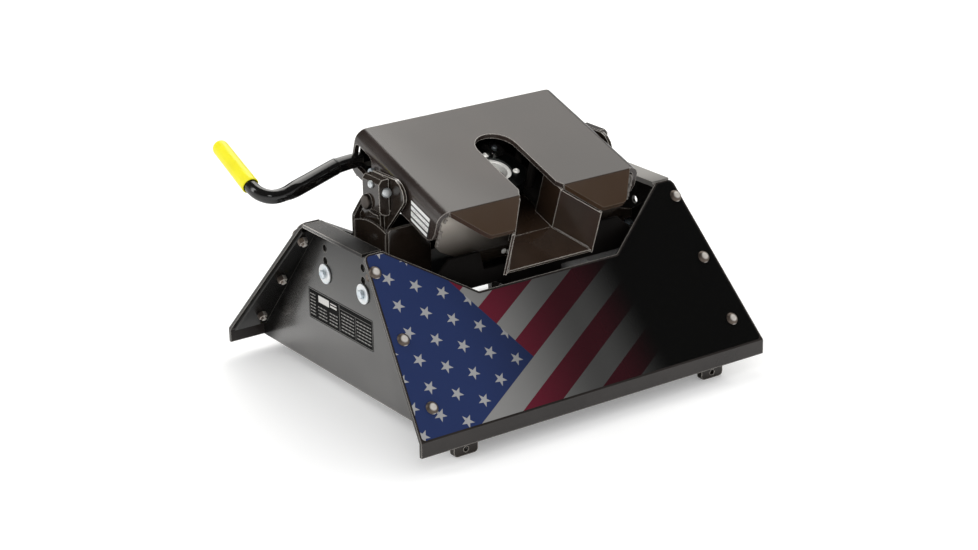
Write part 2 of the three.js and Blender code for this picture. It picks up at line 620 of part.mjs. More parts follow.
// Straight guide, flared tail and rear closing panel, passenger side.
function throatWall() {
  const thick = 5;
  const guide = box(
    THROAT, THROAT + thick, HEAD_REAR + 0.4, HEAD_REAR + 49.5, BELLY_UNDER, PARTS_TOP,
  );
  // the tail runs along u; its sheet lies on the outward side of that line
  const spread = THROAT_OUT - THROAT;
  const length = Math.hypot(spread, RAMP_RUN);
  const along = [spread / length, -RAMP_RUN / length];
  const outward = [-along[1], along[0]];
  const tail = prism([
    [0, BELLY_UNDER], [length, BELLY_UNDER - RAMP_DROP], [length, PARTS_TOP - RAMP_DROP - 1.6],
    [0.6, PARTS_TOP - 1.4], [0, PARTS_TOP - 1.4],
  ], thick, frame(
    [...along, 0],
    [0, 0, 1],
    [-outward[0], -outward[1], 0],
    [THROAT + outward[0] * thick, HEAD_REAR + outward[1] * thick, 0],
  ));
  const panel = prismY([
    [THROAT + 1, -58], [95, -58], [110, -36], [150, -33], [184, -14], [193.6, -4], [193.6, 46],
    [186, PARTS_TOP - 3.4], [178, PARTS_TOP], [THROAT + 1, PARTS_TOP],
  ], HEAD_REAR + 1, HEAD_REAR + 6);
  return guide.add(tail).add(panel);
}
const rightThroatWall = throatWall();
add('throat_wall_right', rightThroatWall, 'black', head);
add('throat_wall_left', mirrorX(rightThroatWall), 'black', head);

// ---- jaw ----------------------------------------------------------------
const JAW_R = 57.5;
const JAW_Z0 = 2.4;
const JAW_Z1 = 20;
const MOUTH_ANGLE = 195;       // direction of the jaw mouth when locked, degrees
const DRIVE_R = 46;            // drive pin radius on the jaw
const DRIVE_ANGLE = radians(55);   // drive pin rest angle
const DRIVE_X = DRIVE_R * Math.cos(DRIVE_ANGLE);
const DRIVE_Y = KING_Y + DRIVE_R * Math.sin(DRIVE_ANGLE);

// U plate under the jaw with four guide posts.
function jawCarrier() {
  const mouthR = 38.6, half = 149.6, rear = -92, front = 60;
  const postCircle = JAW_R + 7.6;
  let carrier = prismZ([
    [mouthR, rear], [96, rear], [half, -62], [half, front],
    [-half, front], [-half, -62], [-96, rear], [-mouthR, rear],
    ...arc(0, KING_Y, mouthR, 180, 0, 18),
  ], -6, 2);
  for (const angle of [12, 168, -40, -140].map(radians)) {
    const x = postCircle * Math.cos(angle);
    const y = KING_Y + postCircle * Math.sin(angle);
    carrier = carrier.add(cylinder('z', x, y, 1, PARTS_TOP, 7, 16));
  }
  return carrier;
}
add('jaw_carrier', jawCarrier(), 'dark', head);

// ---- handle guide, spring and safety ring -------------------------------
const BAR_Y0 = 80, BAR_Y1 = 99;        // section of the handle's flat bar
const BAR_Z0 = 7, BAR_Z1 = 17;
const HANDLE_Z = (BAR_Z0 + BAR_Z1) / 2;

function handleGuide() {
  const slide = 0.6;                   // clearance round the bar
  const hanger = box(-120, -108, 72, 105, 2.4, PARTS_TOP).subtract(box(
    -130, -100, BAR_Y0 - slide, BAR_Y1 + slide, BAR_Z0 - slide, BAR_Z1 + slide,
  ));
  // front wall of the head box, which the hanger grows from
  const frontWall = prismY([
    [-190, -27], [190, -27], [190, 50], [HEAD_FLAT, PARTS_TOP], [-HEAD_FLAT, PARTS_TOP], [-190, 50],
  ], 101, 105);
  return hanger.add(frontWall);
}
add('handle_guide', handleGuide(), 'dark', head);

function returnSpring() {
  const turns = 7, stepsPerTurn = 8, coilR = 6.5, length = 52, wireR = 1.4;
  const start = { x: -146, y: 60, z: 24 };
  const steps = turns * stepsPerTurn;
  const points = [];
  for (let i = 0; i <= steps; i++) {
    const angle = (i / stepsPerTurn) * Math.PI * 2;
    points.push(new THREE.Vector3(
      start.x + (length * i) / steps,
      start.y + coilR * Math.cos(angle),
      start.z + coilR * Math.sin(angle),
    ));
  }
  return sweep(new THREE.CatmullRomCurve3(points), wireR, steps, 2);
}
add('return_spring', returnSpring(), 'zinc', head);

// Ring and stud on the driver side flange.
function safetyRing() {
  const y = 39.5, ringZ = 25, studZ = 31;
  const section = hexagon(6.4, 0, 1.5);
  const ring = lathe([...section, section[0]], 16);
  ring.rotateZ(Math.PI / 2).translate(-HEAD_OUT - 5.2, y, ringZ);
  return solid(ring).add(cylinder('x', y, studZ, -HEAD_OUT - 8, -HEAD_OUT - GAP, 2.6, 12));
}
add('safety_ring', safetyRing(), 'zinc', head);

// ---- jaw ring, drive pin and insert -------------------------------------
// C outline about the kingpin with a parallel-sided mouth.
function cOutline(innerR, outerR, mouthHalf) {
  const outer = degrees(Math.asin(mouthHalf / outerR));
  const inner = degrees(Math.asin(mouthHalf / innerR));
  const turn = MOUTH_ANGLE + 360;
  return [
    ...arc(0, KING_Y, outerR, MOUTH_ANGLE + outer, turn - outer, 44),
    ...arc(0, KING_Y, innerR, turn - inner, MOUTH_ANGLE + inner, 28),
  ];
}
const DRIVE_HOLE_Z = JAW_Z0 + 6;       // floor of the blind hole for the drive pin
const jawRing = prismZ(cOutline(33.6, JAW_R, 29), JAW_Z0, JAW_Z1)
  .subtract(cylinder('z', DRIVE_X, DRIVE_Y, DRIVE_HOLE_Z, JAW_Z1 + 5, 5.3, 16));
add('jaw_ring', jawRing, 'dark', head);
const drivePin = cylinder('z', DRIVE_X, DRIVE_Y, DRIVE_HOLE_Z + GAP, 36, 5, 16);
add('drive_pin', drivePin, 'zinc', head);
const jawInsert = prismZ(cOutline(26.4, 33.3, 26.2), JAW_Z0 + 0.6, JAW_Z1 - 3);
add('jaw_insert', jawInsert, 'bright', head);

// ---- handle -------------------------------------------------------------
// Centreline of the bent round bar, inner end to grip: [x, y].
const HANDLE_PATH = [
  [-211, 89.5], [-246, 88.5], [-264, 85], [-300, 74], [-340, 59], [-366, 51.5],
  [-384, 51.5], [-397, 60], [-404.2, 77], [-404.6, 96], [-403, 130], [-399.5, 185],
  [-398.6, 201],
];

function handleBar() {
  const x0 = DRIVE_X - 14, x1 = DRIVE_X + 14;
  const armZ0 = 24, armZ1 = 33, slotR = 6.4;
  const bar = box(-230, x1, BAR_Y0, BAR_Y1, BAR_Z0, BAR_Z1);
  const riser = box(x0, x1, 84, BAR_Y1, BAR_Z0, armZ1);
  // arm reaching back over the jaw, slotted for the drive pin
  const arm = prismZ([
    [x0, 10], [x0 + 3, 7], [x1 - 3, 7], [x1, 10], [x1, BAR_Y1], [x0, BAR_Y1],
  ], armZ0, armZ1).subtract(prismZ([
    ...arc(DRIVE_X, 18, slotR, 180, 360, 8), ...arc(DRIVE_X, 33, slotR, 0, 180, 8),
  ], 20, 40));
  const points = HANDLE_PATH.map(([x, y]) => new THREE.Vector3(x, y, HANDLE_Z));
  const path = new THREE.CatmullRomCurve3(points, false, 'catmullrom', 0.5);
  return bar.add(riser).add(arm).add(sweep(path, 11.6, 30, 5));
}
add('handle_bar', handleBar(), 'black', head);

// Hollow tapered sleeve over the end of the bar, closed at its tip.
function handleGrip() {
  const start = new THREE.Vector3(-404.9, 90, HANDLE_Z);
  const direction = new THREE.Vector3(-398.2, 211, HANDLE_Z).sub(start);
  const length = direction.length();
  const boreR = 12.7;
  const up = new THREE.Vector3(0, 1, 0);
  const geometry = lathe([
    [boreR, 0], [13.9, 0], [14.8, 1.2], [14.7, 8], [14.2, 30], [13.6, 70],
    [13.2, length - 8], [12, length - 3], [9, length - 0.8], [0, length],
    [0, length - 6], [boreR, length - 6], [boreR, 0],
  ], 24);
  const turn = new THREE.Quaternion().setFromUnitVectors(up, direction.normalize());
  geometry.applyQuaternion(turn).translate(start.x, start.y, start.z);
  return solid(geometry);
}
add('handle_grip', handleGrip(), 'yellow', head);

export default group;
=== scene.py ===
"""A jawed head plate with a pull handle, tilted on a rocker above a folded base.

World frame: metres, x across (left is -x), +y forward, +z up. The origin is the rear rail seat.
Shapes are laid out in millimetres about the footprint centre, in the base, slope and head frames.
"""
import bpy, bmesh, math, json, random
from mathutils import Vector, Matrix


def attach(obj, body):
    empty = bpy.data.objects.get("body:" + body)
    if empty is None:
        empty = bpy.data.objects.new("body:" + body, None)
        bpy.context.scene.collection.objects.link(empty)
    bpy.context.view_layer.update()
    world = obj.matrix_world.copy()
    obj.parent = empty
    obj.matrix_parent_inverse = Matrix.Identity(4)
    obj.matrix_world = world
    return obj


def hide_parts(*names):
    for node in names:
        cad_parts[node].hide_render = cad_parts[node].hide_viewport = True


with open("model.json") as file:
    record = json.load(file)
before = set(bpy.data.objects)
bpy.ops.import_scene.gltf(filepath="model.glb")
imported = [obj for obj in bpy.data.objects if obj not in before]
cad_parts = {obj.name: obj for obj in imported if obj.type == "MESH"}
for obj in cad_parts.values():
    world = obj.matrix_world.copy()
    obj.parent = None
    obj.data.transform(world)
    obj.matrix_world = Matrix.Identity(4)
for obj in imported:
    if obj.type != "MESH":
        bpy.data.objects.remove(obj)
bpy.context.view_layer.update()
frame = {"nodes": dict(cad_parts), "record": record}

nodes = frame["nodes"]
scene = bpy.context.scene
SLOT_OF = {part["node"]: part["material_slot"] for part in frame["record"]["subparts"]}
SIDES = ((-1, "left"), (1, "right"))

# ---------------------------------------------------------------- frames
MM = 0.001
CENTRE_Y = 0.284                   # footprint centre, metres
CENTRE = CENTRE_Y * 1000           # the same in millimetres
PIVOT_Y, PIVOT_Z = 13, 312.0       # head pivot in the base frame
TILT = math.radians(18.95)
COS_TILT, SIN_TILT = math.cos(TILT), math.sin(TILT)
FOOT_Y, FOOT_Z = 305, 25.1         # foot of each sloping plate, out from the centre and up
SLOPE_RUN, SLOPE_RISE = 207.2, 242.8
SLOPE_LENGTH = math.hypot(SLOPE_RUN, SLOPE_RISE)
SLOPE_Y, SLOPE_Z = SLOPE_RUN / SLOPE_LENGTH, SLOPE_RISE / SLOPE_LENGTH


def base(x, y, z):
    """Base frame: millimetres about the footprint centre."""
    return Vector((x * MM, CENTRE_Y + y * MM, z * MM))


def head(x, v, w):
    """Head frame: x across, v forward along the plate, w out of its top face."""
    return Vector((x * MM, CENTRE_Y + PIVOT_Y * MM + (v * COS_TILT - w * SIN_TILT) * MM,
                   PIVOT_Z * MM + (v * SIN_TILT + w * COS_TILT) * MM))


def head_direction(x, v, w):
    return Vector((x, v * COS_TILT - w * SIN_TILT, v * SIN_TILT + w * COS_TILT)).normalized()


def slope(x, t, out=0.0, side=-1):
    """Rear (side -1) or front plate: x across, t up the slope, out from its face."""
    y = -FOOT_Y + t * SLOPE_Y - out * SLOPE_Z
    return Vector((x * MM, CENTRE_Y - side * y * MM,
                   (FOOT_Z + t * SLOPE_Z + out * SLOPE_Y) * MM))


def slope_outward(t, side=-1):
    return slope(0, t, 1, side) - slope(0, t, 0, side)


X_AXIS = Vector((1, 0, 0))
Z_AXIS = Vector((0, 0, 1))
HEAD_LEFT = head_direction(-1, 0, 0)
HEAD_RIGHT = head_direction(1, 0, 0)
HEAD_REAR = head_direction(0, -1, 0)
HEAD_OUT = head_direction(0, 0, 1)


# ---------------------------------------------------------------- shader maths
class Field:
    """A shader value that builds math nodes as it is used in expressions."""

    def __init__(self, tree, socket):
        self.tree, self.socket = tree, socket

    def math(self, operation, *others, clamp=False):
        node = self.tree.nodes.new("ShaderNodeMath")
        node.operation = operation
        node.use_clamp = clamp
        for socket, value in zip(node.inputs, (self,) + others):
            if isinstance(value, Field):
                self.tree.links.new(value.socket, socket)
            else:
                socket.default_value = float(value)
        return Field(self.tree, node.outputs[0])

    def __rsub__(self, other):
        return (self * -1) + other

    def clamp(self):
        return self.math("ADD", 0.0, clamp=True)

    def ramp(self, start, end, smooth=True):
        """0 at start, 1 at end."""
        node = self.tree.nodes.new("ShaderNodeMapRange")
        node.interpolation_type = "SMOOTHSTEP" if smooth else "LINEAR"
        self.tree.links.new(self.socket, node.inputs["Value"])
        node.inputs["From Min"].default_value = start
        node.inputs["From Max"].default_value = end
        node.inputs["To Min"].default_value = 0
        node.inputs["To Max"].default_value = 1
        return Field(self.tree, node.outputs["Result"])


for method, operation in {
        "__add__": "ADD", "__radd__": "ADD", "__sub__": "SUBTRACT", "__mul__": "MULTIPLY",
        "__rmul__": "MULTIPLY", "__truediv__": "DIVIDE", "sin": "SINE", "cos": "COSINE",
        "abs": "ABSOLUTE", "floor": "FLOOR", "fract": "FRACT", "pow": "POWER", "sqrt": "SQRT",
        "gt": "GREATER_THAN", "lt": "LESS_THAN", "max": "MAXIMUM", "mod": "FLOORED_MODULO",
        "atan2": "ARCTAN2"}.items():
    setattr(Field, method, lambda self, *others, name=operation: self.math(name, *others))


def split(tree, socket, axis_names):
    """The named components of a vector socket."""
    node = tree.nodes.new("ShaderNodeSeparateXYZ")
    tree.links.new(socket, node.inputs[0])
    return [Field(tree, node.outputs[axis]) for axis in axis_names]


def between(value, low, high, soft=0.25):
    """1 from low to high, with soft edges."""
    return value.ramp(low - soft, low + soft) * (1.0 - value.ramp(high - soft, high + soft))


def boxes(across, up, limits):
    """Sum of rectangles, each (across from, to, up from, to)."""
    masks = [between(across, left, right) * between(up, low, high)
             for left, right, low, high in limits]
    return sum(masks[1:], masks[0])


def from_pivot(y, z):
    return y - (CENTRE + PIVOT_Y), z - PIVOT_Z


def along_head(y, z):
    y, z = from_pivot(y, z)
    return y * COS_TILT + z * SIN_TILT


class Surface:
    """A Principled material and the nodes that feed it."""

    def __init__(self, name):
        self.material = bpy.data.materials.new(name)
        self.material.use_nodes = True
        self.tree = self.material.node_tree
        self.shader = self.tree.nodes["Principled BSDF"]
        self.object_coords = self.node("TexCoord").outputs["Object"]

    def node(self, kind):
        return self.tree.nodes.new("ShaderNode" + kind)

    def feed(self, socket, value):
        """Links a field or socket, or sets a number, colour or vector."""
        if isinstance(value, Field):
            value = value.socket
        if isinstance(value, bpy.types.NodeSocket):
            self.tree.links.new(value, socket)
        elif isinstance(value, (int, float)):
            socket.default_value = value
        else:
            socket.default_value = tuple(value) + ((1,) if socket.type == "RGBA" else ())

    def set(self, name, value):
        self.feed(self.shader.inputs[name], value)

    def position(self, axis_names="XYZ"):
        """Object position, millimetres."""
        return [field * 1000.0 for field in split(self.tree, self.object_coords, axis_names)]

    def noise(self, scale, detail=2.0, roughness=0.5, stretch=None):
        node = self.node("TexNoise")
        node.inputs["Scale"].default_value = scale
        node.inputs["Detail"].default_value = detail
        node.inputs["Roughness"].default_value = roughness
        coords = self.object_coords
        if stretch:
            mapping = self.node("Mapping")
            mapping.inputs["Scale"].default_value = stretch
            self.feed(mapping.inputs[0], coords)
            coords = mapping.outputs[0]
        self.feed(node.inputs["Vector"], coords)
        return Field(self.tree, node.outputs["Fac"])

    def mix(self, factor, first, second):
        node = self.node("Mix")
        node.data_type = "RGBA"
        for index, value in ((0, factor), (6, first), (7, second)):
            self.feed(node.inputs[index], value)
        return node.outputs[2]

    def vector_math(self, operation, vector, other, other_input=1):
        node = self.node("VectorMath")
        node.operation = operation
        self.feed(node.inputs[0], vector)
        self.feed(node.inputs[other_input], other)
        return node.outputs

    def dot(self, first, second):
        return Field(self.tree, self.vector_math("DOT_PRODUCT", first, second)["Value"])

    def scale_color(self, color, factor):
        return self.vector_math("SCALE", color, factor, "Scale")[0]

    def bump(self, height, strength, distance):
        node = self.node("Bump")
        node.inputs["Strength"].default_value = strength
        node.inputs["Distance"].default_value = distance
        self.feed(node.inputs["Height"], height)
        self.set("Normal", node.outputs[0])


# ---------------------------------------------------------------- paint
def powder_coat(name, color, roughness, peel, specular=0.5, coat=0.0, rim=0.0):
    """Orange peel, soft clouding and dust specks; rim is the strength of a painted highlight
    along sharp edges.
    """
    paint = Surface(name)
    cloud = paint.noise(scale=9.0, detail=3.0, roughness=0.6)
    fine = paint.noise(scale=260.0)
    speck = paint.noise(scale=1700.0, detail=1.0)
    clouded = tuple(min(1, c * 1.30 + 0.002) for c in color)
    dust = tuple(min(1, c * 2.0 + 0.01) for c in color)
    mixed = paint.mix(cloud.ramp(0.35, 0.7), color, clouded)
    mixed = paint.mix(speck.ramp(0.68, 0.78) * 0.25, mixed, dust)
    if rim:
        # painted highlight: a pale colour on sharp edges found by the bevel node, broken up by
        # noise
        bevel = paint.node("Bevel")
        bevel.samples = 4
        bevel.inputs["Radius"].default_value = 0.0027
        flat = paint.node("NewGeometry").outputs["True Normal"]
        edge = (1.0 - paint.dot(bevel.outputs[0], flat)).ramp(0.05, 0.17)
        rim_highlight_breakup = (paint.noise(scale=40.0, roughness=0.6) * 0.5 + 0.6).clamp()
        mixed = paint.mix(edge * rim_highlight_breakup * rim, mixed, (0.86, 0.81, 0.74))
    paint.color = mixed
    paint.set("Base Color", mixed)
    paint.set("Roughness", cloud.ramp(0.3, 0.75) * 0.05 + fine * 0.04 + (roughness - 0.045))
    paint.set("Specular IOR Level", specular)
    if coat:
        paint.set("Coat Weight", coat)
        paint.set("Coat Roughness", 0.05)
    peel_height = (paint.noise(scale=330.0, detail=1.5) * 0.7
                   + paint.noise(scale=900.0, detail=1.0) * 0.3)
    paint.bump(peel_height, strength=peel, distance=0.0006)
    return paint


def panel_paint():
    """Side webs: painted reflection makes them paler low down; painted shade darkens them beside
    the forward return and on the flange's rear half; a painted highlight lightens the right
    flange.
    """
    paint = powder_coat("side_powder_coat", color=(0.020, 0.0190, 0.0178), roughness=0.24,
                        peel=0.05, specular=1.0, rim=0.35)
    x, y, z = paint.position()
    y = y - CENTRE
    # painted reflection: the web's base colour, specular and coat rise toward its foot
    low = 1.0 - z.ramp(40.0, 262.0, smooth=False)
    # painted shade beside the forward return and on the flange's rear half
    return_shade = (y - (157.0 - (z - 150.0) * 0.68)).ramp(-14.0, 26.0)
    web = z.lt(259.0)
    rear_flange_shade = (1.0 - web) * (1.0 - y.ramp(-40.0, 60.0))
    painted_shade_factor = (1.0 - return_shade * 0.88 * web) * (1.0 - rear_flange_shade * 0.85)
    # painted highlight: a pale colour on the right flange, stronger toward the front
    right_flange_highlight = (1.0 - web) * x.gt(0.0) * y.ramp(-175.0, -30.0)
    painted_light_level = (low * 2.6 + 0.25) * painted_shade_factor * web + (1.0 - web) * painted_shade_factor * 3.0
    paint.set("Base Color", paint.mix(
        right_flange_highlight * 0.9, paint.scale_color(paint.color, painted_light_level), (0.40, 0.385, 0.36)))
    paint.set("Specular IOR Level", (low * 0.62 * web + 0.38 + (1.0 - web) * 0.5) * painted_shade_factor)
    paint.set("Coat Weight", low * web * painted_shade_factor * 0.75)
    paint.set("Coat Roughness", 0.16)
    return paint


def head_paint():
    """Head plate: painted light gives the folded ramps behind it a warmer, brighter base colour
    than the top face; a painted sheen raises the specular to the left.
    """
    paint = powder_coat("head_powder_coat", color=(0.026, 0.0185, 0.0155), roughness=0.24,
                        peel=0.025, specular=0.72, rim=0.55)
    x, y, z = paint.position()
    forward = along_head(y, z)
    ramps = 1.0 - forward.ramp(-151.5, -147.5)
    # painted light: one paint, with a warmer, brighter base colour on the ramps than on the top
    paint.set("Base Color", paint.mix(ramps * 0.85, paint.color, (0.052, 0.0275, 0.0130)))
    # painted sheen: more specular toward the left on the top face
    left = 1.0 - (x + forward * 0.35).ramp(-215.0, -90.0)
    paint.set("Specular IOR Level", left * 0.32 * (1.0 - ramps) + 0.665)
    return paint


def chute_paint():
    """Throat: painted light along the top of its inner walls, painted shade making them black low
    down, and painted shade darkening the floor deeper in.
    """
    paint = powder_coat("chute_powder_coat", color=(0.0275, 0.0160, 0.0099), roughness=0.16,
                        peel=0.05, coat=0.15, rim=1.0)
    x, y, z = paint.position()
    forward = along_head(y, z)
    wall_x = 47.0
    wall = forward.gt(-150.5) * x.abs().gt(wall_x)
    # painted light on the upper inner walls, stronger on the left; painted shade below
    lit = (z - 207.0).ramp(0.0, 96.0, smooth=False).pow(2.6) * (0.22 + 0.66 * x.lt(0.0))
    # painted shade: the floor between the walls darkens deeper in
    deep = forward.ramp(-150.0, -70.0) * x.abs().lt(wall_x)
    paint.set("Base Color", paint.mix(
        wall, paint.scale_color(paint.color, 1.0 - deep * 0.85),
        paint.mix(lit, (0.012, 0.0085, 0.006), (0.50, 0.455, 0.40))))
    return paint


# ---------------------------------------------------------------- metal and vinyl
def metal(name, color, roughness, tint=None, spots=0.1, metallic=1.0):
    """Mottled metal; tint is its second colour. With no color the caller sets Base Color."""
    steel = Surface(name)
    mottle = steel.noise(scale=60.0, detail=3.0, roughness=0.6)
    fine = steel.noise(scale=500.0, roughness=0.6)
    if color:
        tint = tint or tuple(c * 0.75 for c in color)
        steel.set("Base Color", steel.mix(mottle.ramp(0.35, 0.72), color, tint))
    steel.set("Metallic", metallic)
    steel.set("Roughness", fine * 0.16 + mottle * spots + (roughness - 0.08))
    steel.bump(fine, strength=0.06, distance=0.0003)
    return steel


def stainless():
    """Bolt heads: polished crowns, with painted shade in dark brown round the rim where the
    surface turns away from the plate's normal.
    """
    steel = metal("stainless", color=None, roughness=0.36)
    normal = steel.node("NewGeometry").outputs["Normal"]
    rear, front = (steel.dot(normal, slope_outward(100, side).normalized()).abs()
                   for side in (-1, 1))
    # painted shade: dark brown, and more metallic, where the head turns away from the plate's
    # normal
    painted_rim_shade = 1.0 - rear.max(front).ramp(0.84, 0.965)
    crown = steel.mix(steel.noise(scale=90.0, detail=3.0, roughness=0.6),
                      (0.92, 0.88, 0.83), (0.72, 0.67, 0.61))
    steel.set("Base Color", steel.mix(painted_rim_shade, crown, (0.15, 0.12, 0.10)))
    steel.set("Metallic", 0.42 + painted_rim_shade * 0.4)
    return steel


def grip_vinyl():
    vinyl = Surface("dipped_yellow_vinyl")
    cloud = vinyl.noise(scale=22.0, detail=3.0, roughness=0.6)
    vinyl.set("Base Color", vinyl.mix(
        cloud.ramp(0.3, 0.75), (0.93, 0.86, 0.010), (0.86, 0.78, 0.006)))
    vinyl.set("Roughness", vinyl.noise(scale=160.0) * 0.12 + 0.30)
    vinyl.set("Subsurface Weight", 0.06)
    vinyl.set("Subsurface Radius", (0.004, 0.003, 0.001))
    height = vinyl.noise(scale=120.0) * 0.7 + vinyl.noise(scale=420.0, detail=1.0) * 0.3
    vinyl.bump(height, strength=0.12, distance=0.0008)
    return vinyl


# ---------------------------------------------------------------- prints
def film_print():
    """Slanted bands and a blue field with rows of stars, fading to black toward +x."""
    film = Surface("printed_film")
    x, y, z = film.position()
    t = (y - (CENTRE - FOOT_Y)) * SLOPE_Y + (z - FOOT_Z) * SLOPE_Z
    slant = math.radians(30)
    u = x * math.cos(slant) + t * math.sin(slant)      # along the bands
    v = t * math.cos(slant) - x * math.sin(slant)      # across the bands
    band_width = 40.0
    field_v, field_u = 120.0, -40.0                    # lower and right edges of the blue field
    edge = 0.3
    phase = (v / band_width).mod(2.0)
    red = phase.ramp(0.995, 1.005) * (1.0 - phase.ramp(1.995, 2.0))
    field = (v.ramp(field_v - edge, field_v + edge)
             * (1.0 - u.ramp(field_u - edge, field_u + edge)))

    # star rows, alternate ones shifted by half a pitch
    pitch_u, pitch_v, star_radius = 50.0, 40.0, 12.0
    above = v - field_v
    row = (above / pitch_v).floor()
    star_v = above - (row + 0.5) * pitch_v
    shifted = u + -field_u + 10 * pitch_u - row.mod(2.0) * (pitch_u / 2)
    star_u = shifted.mod(pitch_u) - pitch_u / 2
    radius = (star_u * star_u + star_v * star_v).sqrt()
    angle = star_u.atan2(star_v)
    # fold the angle to half a point, then measure from that point's edge
    half_point = math.pi / 5
    folded = ((angle + half_point).mod(2 * half_point) - half_point).abs()
    point_x, point_y = radius * folded.cos(), radius * folded.sin()
    notch_radius = 0.40 * star_radius
    edge_x = notch_radius * math.cos(half_point) - star_radius
    edge_y = notch_radius * math.sin(half_point)
    star = (point_y * edge_x - (point_x - star_radius) * edge_y).ramp(-1.2, 1.2) * field

    silver, crimson = (0.333, 0.330, 0.323), (0.200, 0.012, 0.036)
    color = film.mix(red, silver, crimson)
    color = film.mix(field, color, (0.022, 0.042, 0.148))
    color = film.mix(star, color, (0.46, 0.46, 0.47))
    shade = (1.0 - x.ramp(-235.0, 20.0) * 0.80) * 0.75
    fade = 1.0 - (x + (t - 150.0) * 0.10).ramp(20.0, 140.0)
    color = film.scale_color(color, shade * fade + 0.0)
    black = (0.0026, 0.0026, 0.0024)
    film.set("Base Color", film.vector_math("ADD", color, black)[0])
    film.set("Roughness", film.noise(scale=150.0) * 0.08 + 0.20)
    film.set("Specular IOR Level", 0.42)
    height = film.noise(scale=90.0) * 0.6 + film.noise(scale=700.0, detail=1.0) * 0.4
    film.bump(height, strength=0.05, distance=0.0004)
    return film


# data plate: front edge and foot in the base frame, then its size
LABEL_FRONT, LABEL_FOOT = 135, 84
LABEL_LENGTH, LABEL_HEIGHT = 203, 55


def label_finish(label, roughness):
    label.set("Roughness", label.noise(scale=200.0) * 0.08 + roughness)
    label.bump(label.noise(scale=300.0), strength=0.04, distance=0.0003)


def data_plate_print():
    """Columns of dashes between rules, with solid blocks; nothing to read."""
    label = Surface("data_plate_print")
    y, z = label.position("YZ")
    back = CENTRE + LABEL_FRONT - y        # from the forward end toward the rear
    up = z - LABEL_FOOT
    pitch = 6.0
    line = between((up / pitch).fract(), 0.30, 0.62, soft=0.05)
    row = (up / pitch).floor()
    step = (back * 0.21 + (row * 2.7).sin() * 3.0).fract()
    strength = (back * 0.61 + row * 5.3).sin() * 0.22 + 0.62
    dash = between(step, 0.06, 0.86, soft=0.05) * strength
    columns = boxes(back, up, [(5, 22, 6, 47), (30, 58, 6, 30), (66, 92, 6, 30),
                               (104, 144, 5, 42), (152, 197, 5, 42)])
    rules = (boxes(back, up, [(98.0, 98.9, 4, 51), (148.2, 148.9, 4, 44)])
             + between(up, 44.6, 45.3) * between(back, 101, 198)
             + (1.0 - between(back, 2.2, 200.8) * between(up, 2.2, 52.8))
             * between(back, 1.4, 201.6) * between(up, 1.4, 53.6))
    blocks = boxes(back, up, [(32, 66, 36, 48), (70, 90, 38, 41.5), (70, 90, 44, 46)])
    ink = (columns * line * dash * 0.80 + rules * 0.40 + blocks * 1.0).clamp()
    label.set("Base Color", label.mix(ink, (0.004, 0.004, 0.004), (0.66, 0.65, 0.63)))
    label.set("Specular IOR Level", 0.04)
    label_finish(label, roughness=0.42)
    return label


def flange_print():
    """Dark bars and fine broken rows on white."""
    label = Surface("flange_label_print")
    y, z = from_pivot(*label.position("YZ"))
    v = y * COS_TILT + z * SIN_TILT
    w = z * COS_TILT - y * SIN_TILT
    grain = label.noise(scale=420.0, detail=1.0, stretch=(1.0, 0.35, 1.0)).ramp(0.46, 0.54)
    dark = (between(w, 34.9, 37.7) + between(w, 25.6, 28.3) + between(w, 14.2, 17.6)
            + (1.0 - v.ramp(-129.4, -128.6)))
    rows = ((between(w, 29.2, 34.4) + between(w, 18.4, 25.0))
            * between((w / 1.7).fract(), 0.25, 0.75, soft=0.08)
            * grain * between(v, -126, -80))
    label.set("Base Color", label.mix(
        (dark + rows * 0.55).clamp(), (0.96, 0.96, 0.94), (0.012, 0.012, 0.012)))
    label_finish(label, roughness=0.28)
    return label


def pale_floor():
    """Pale sheet, lifted a little for the camera so it stays pale far from the lights."""
    sheet = Surface("pale_floor")
    sheet.set("Base Color", sheet.mix(sheet.noise(scale=3.0), (0.86, 0.86, 0.86),
                                      (0.885, 0.885, 0.88)))
    sheet.set("Roughness", 0.75)
    sheet.set("Specular IOR Level", 0.15)
    sheet.set("Emission Color", (1, 1, 1))
    camera_ray = Field(sheet.tree, sheet.node("LightPath").outputs["Is Camera Ray"])
    sheet.set("Emission Strength", camera_ray * 0.24)
    return sheet


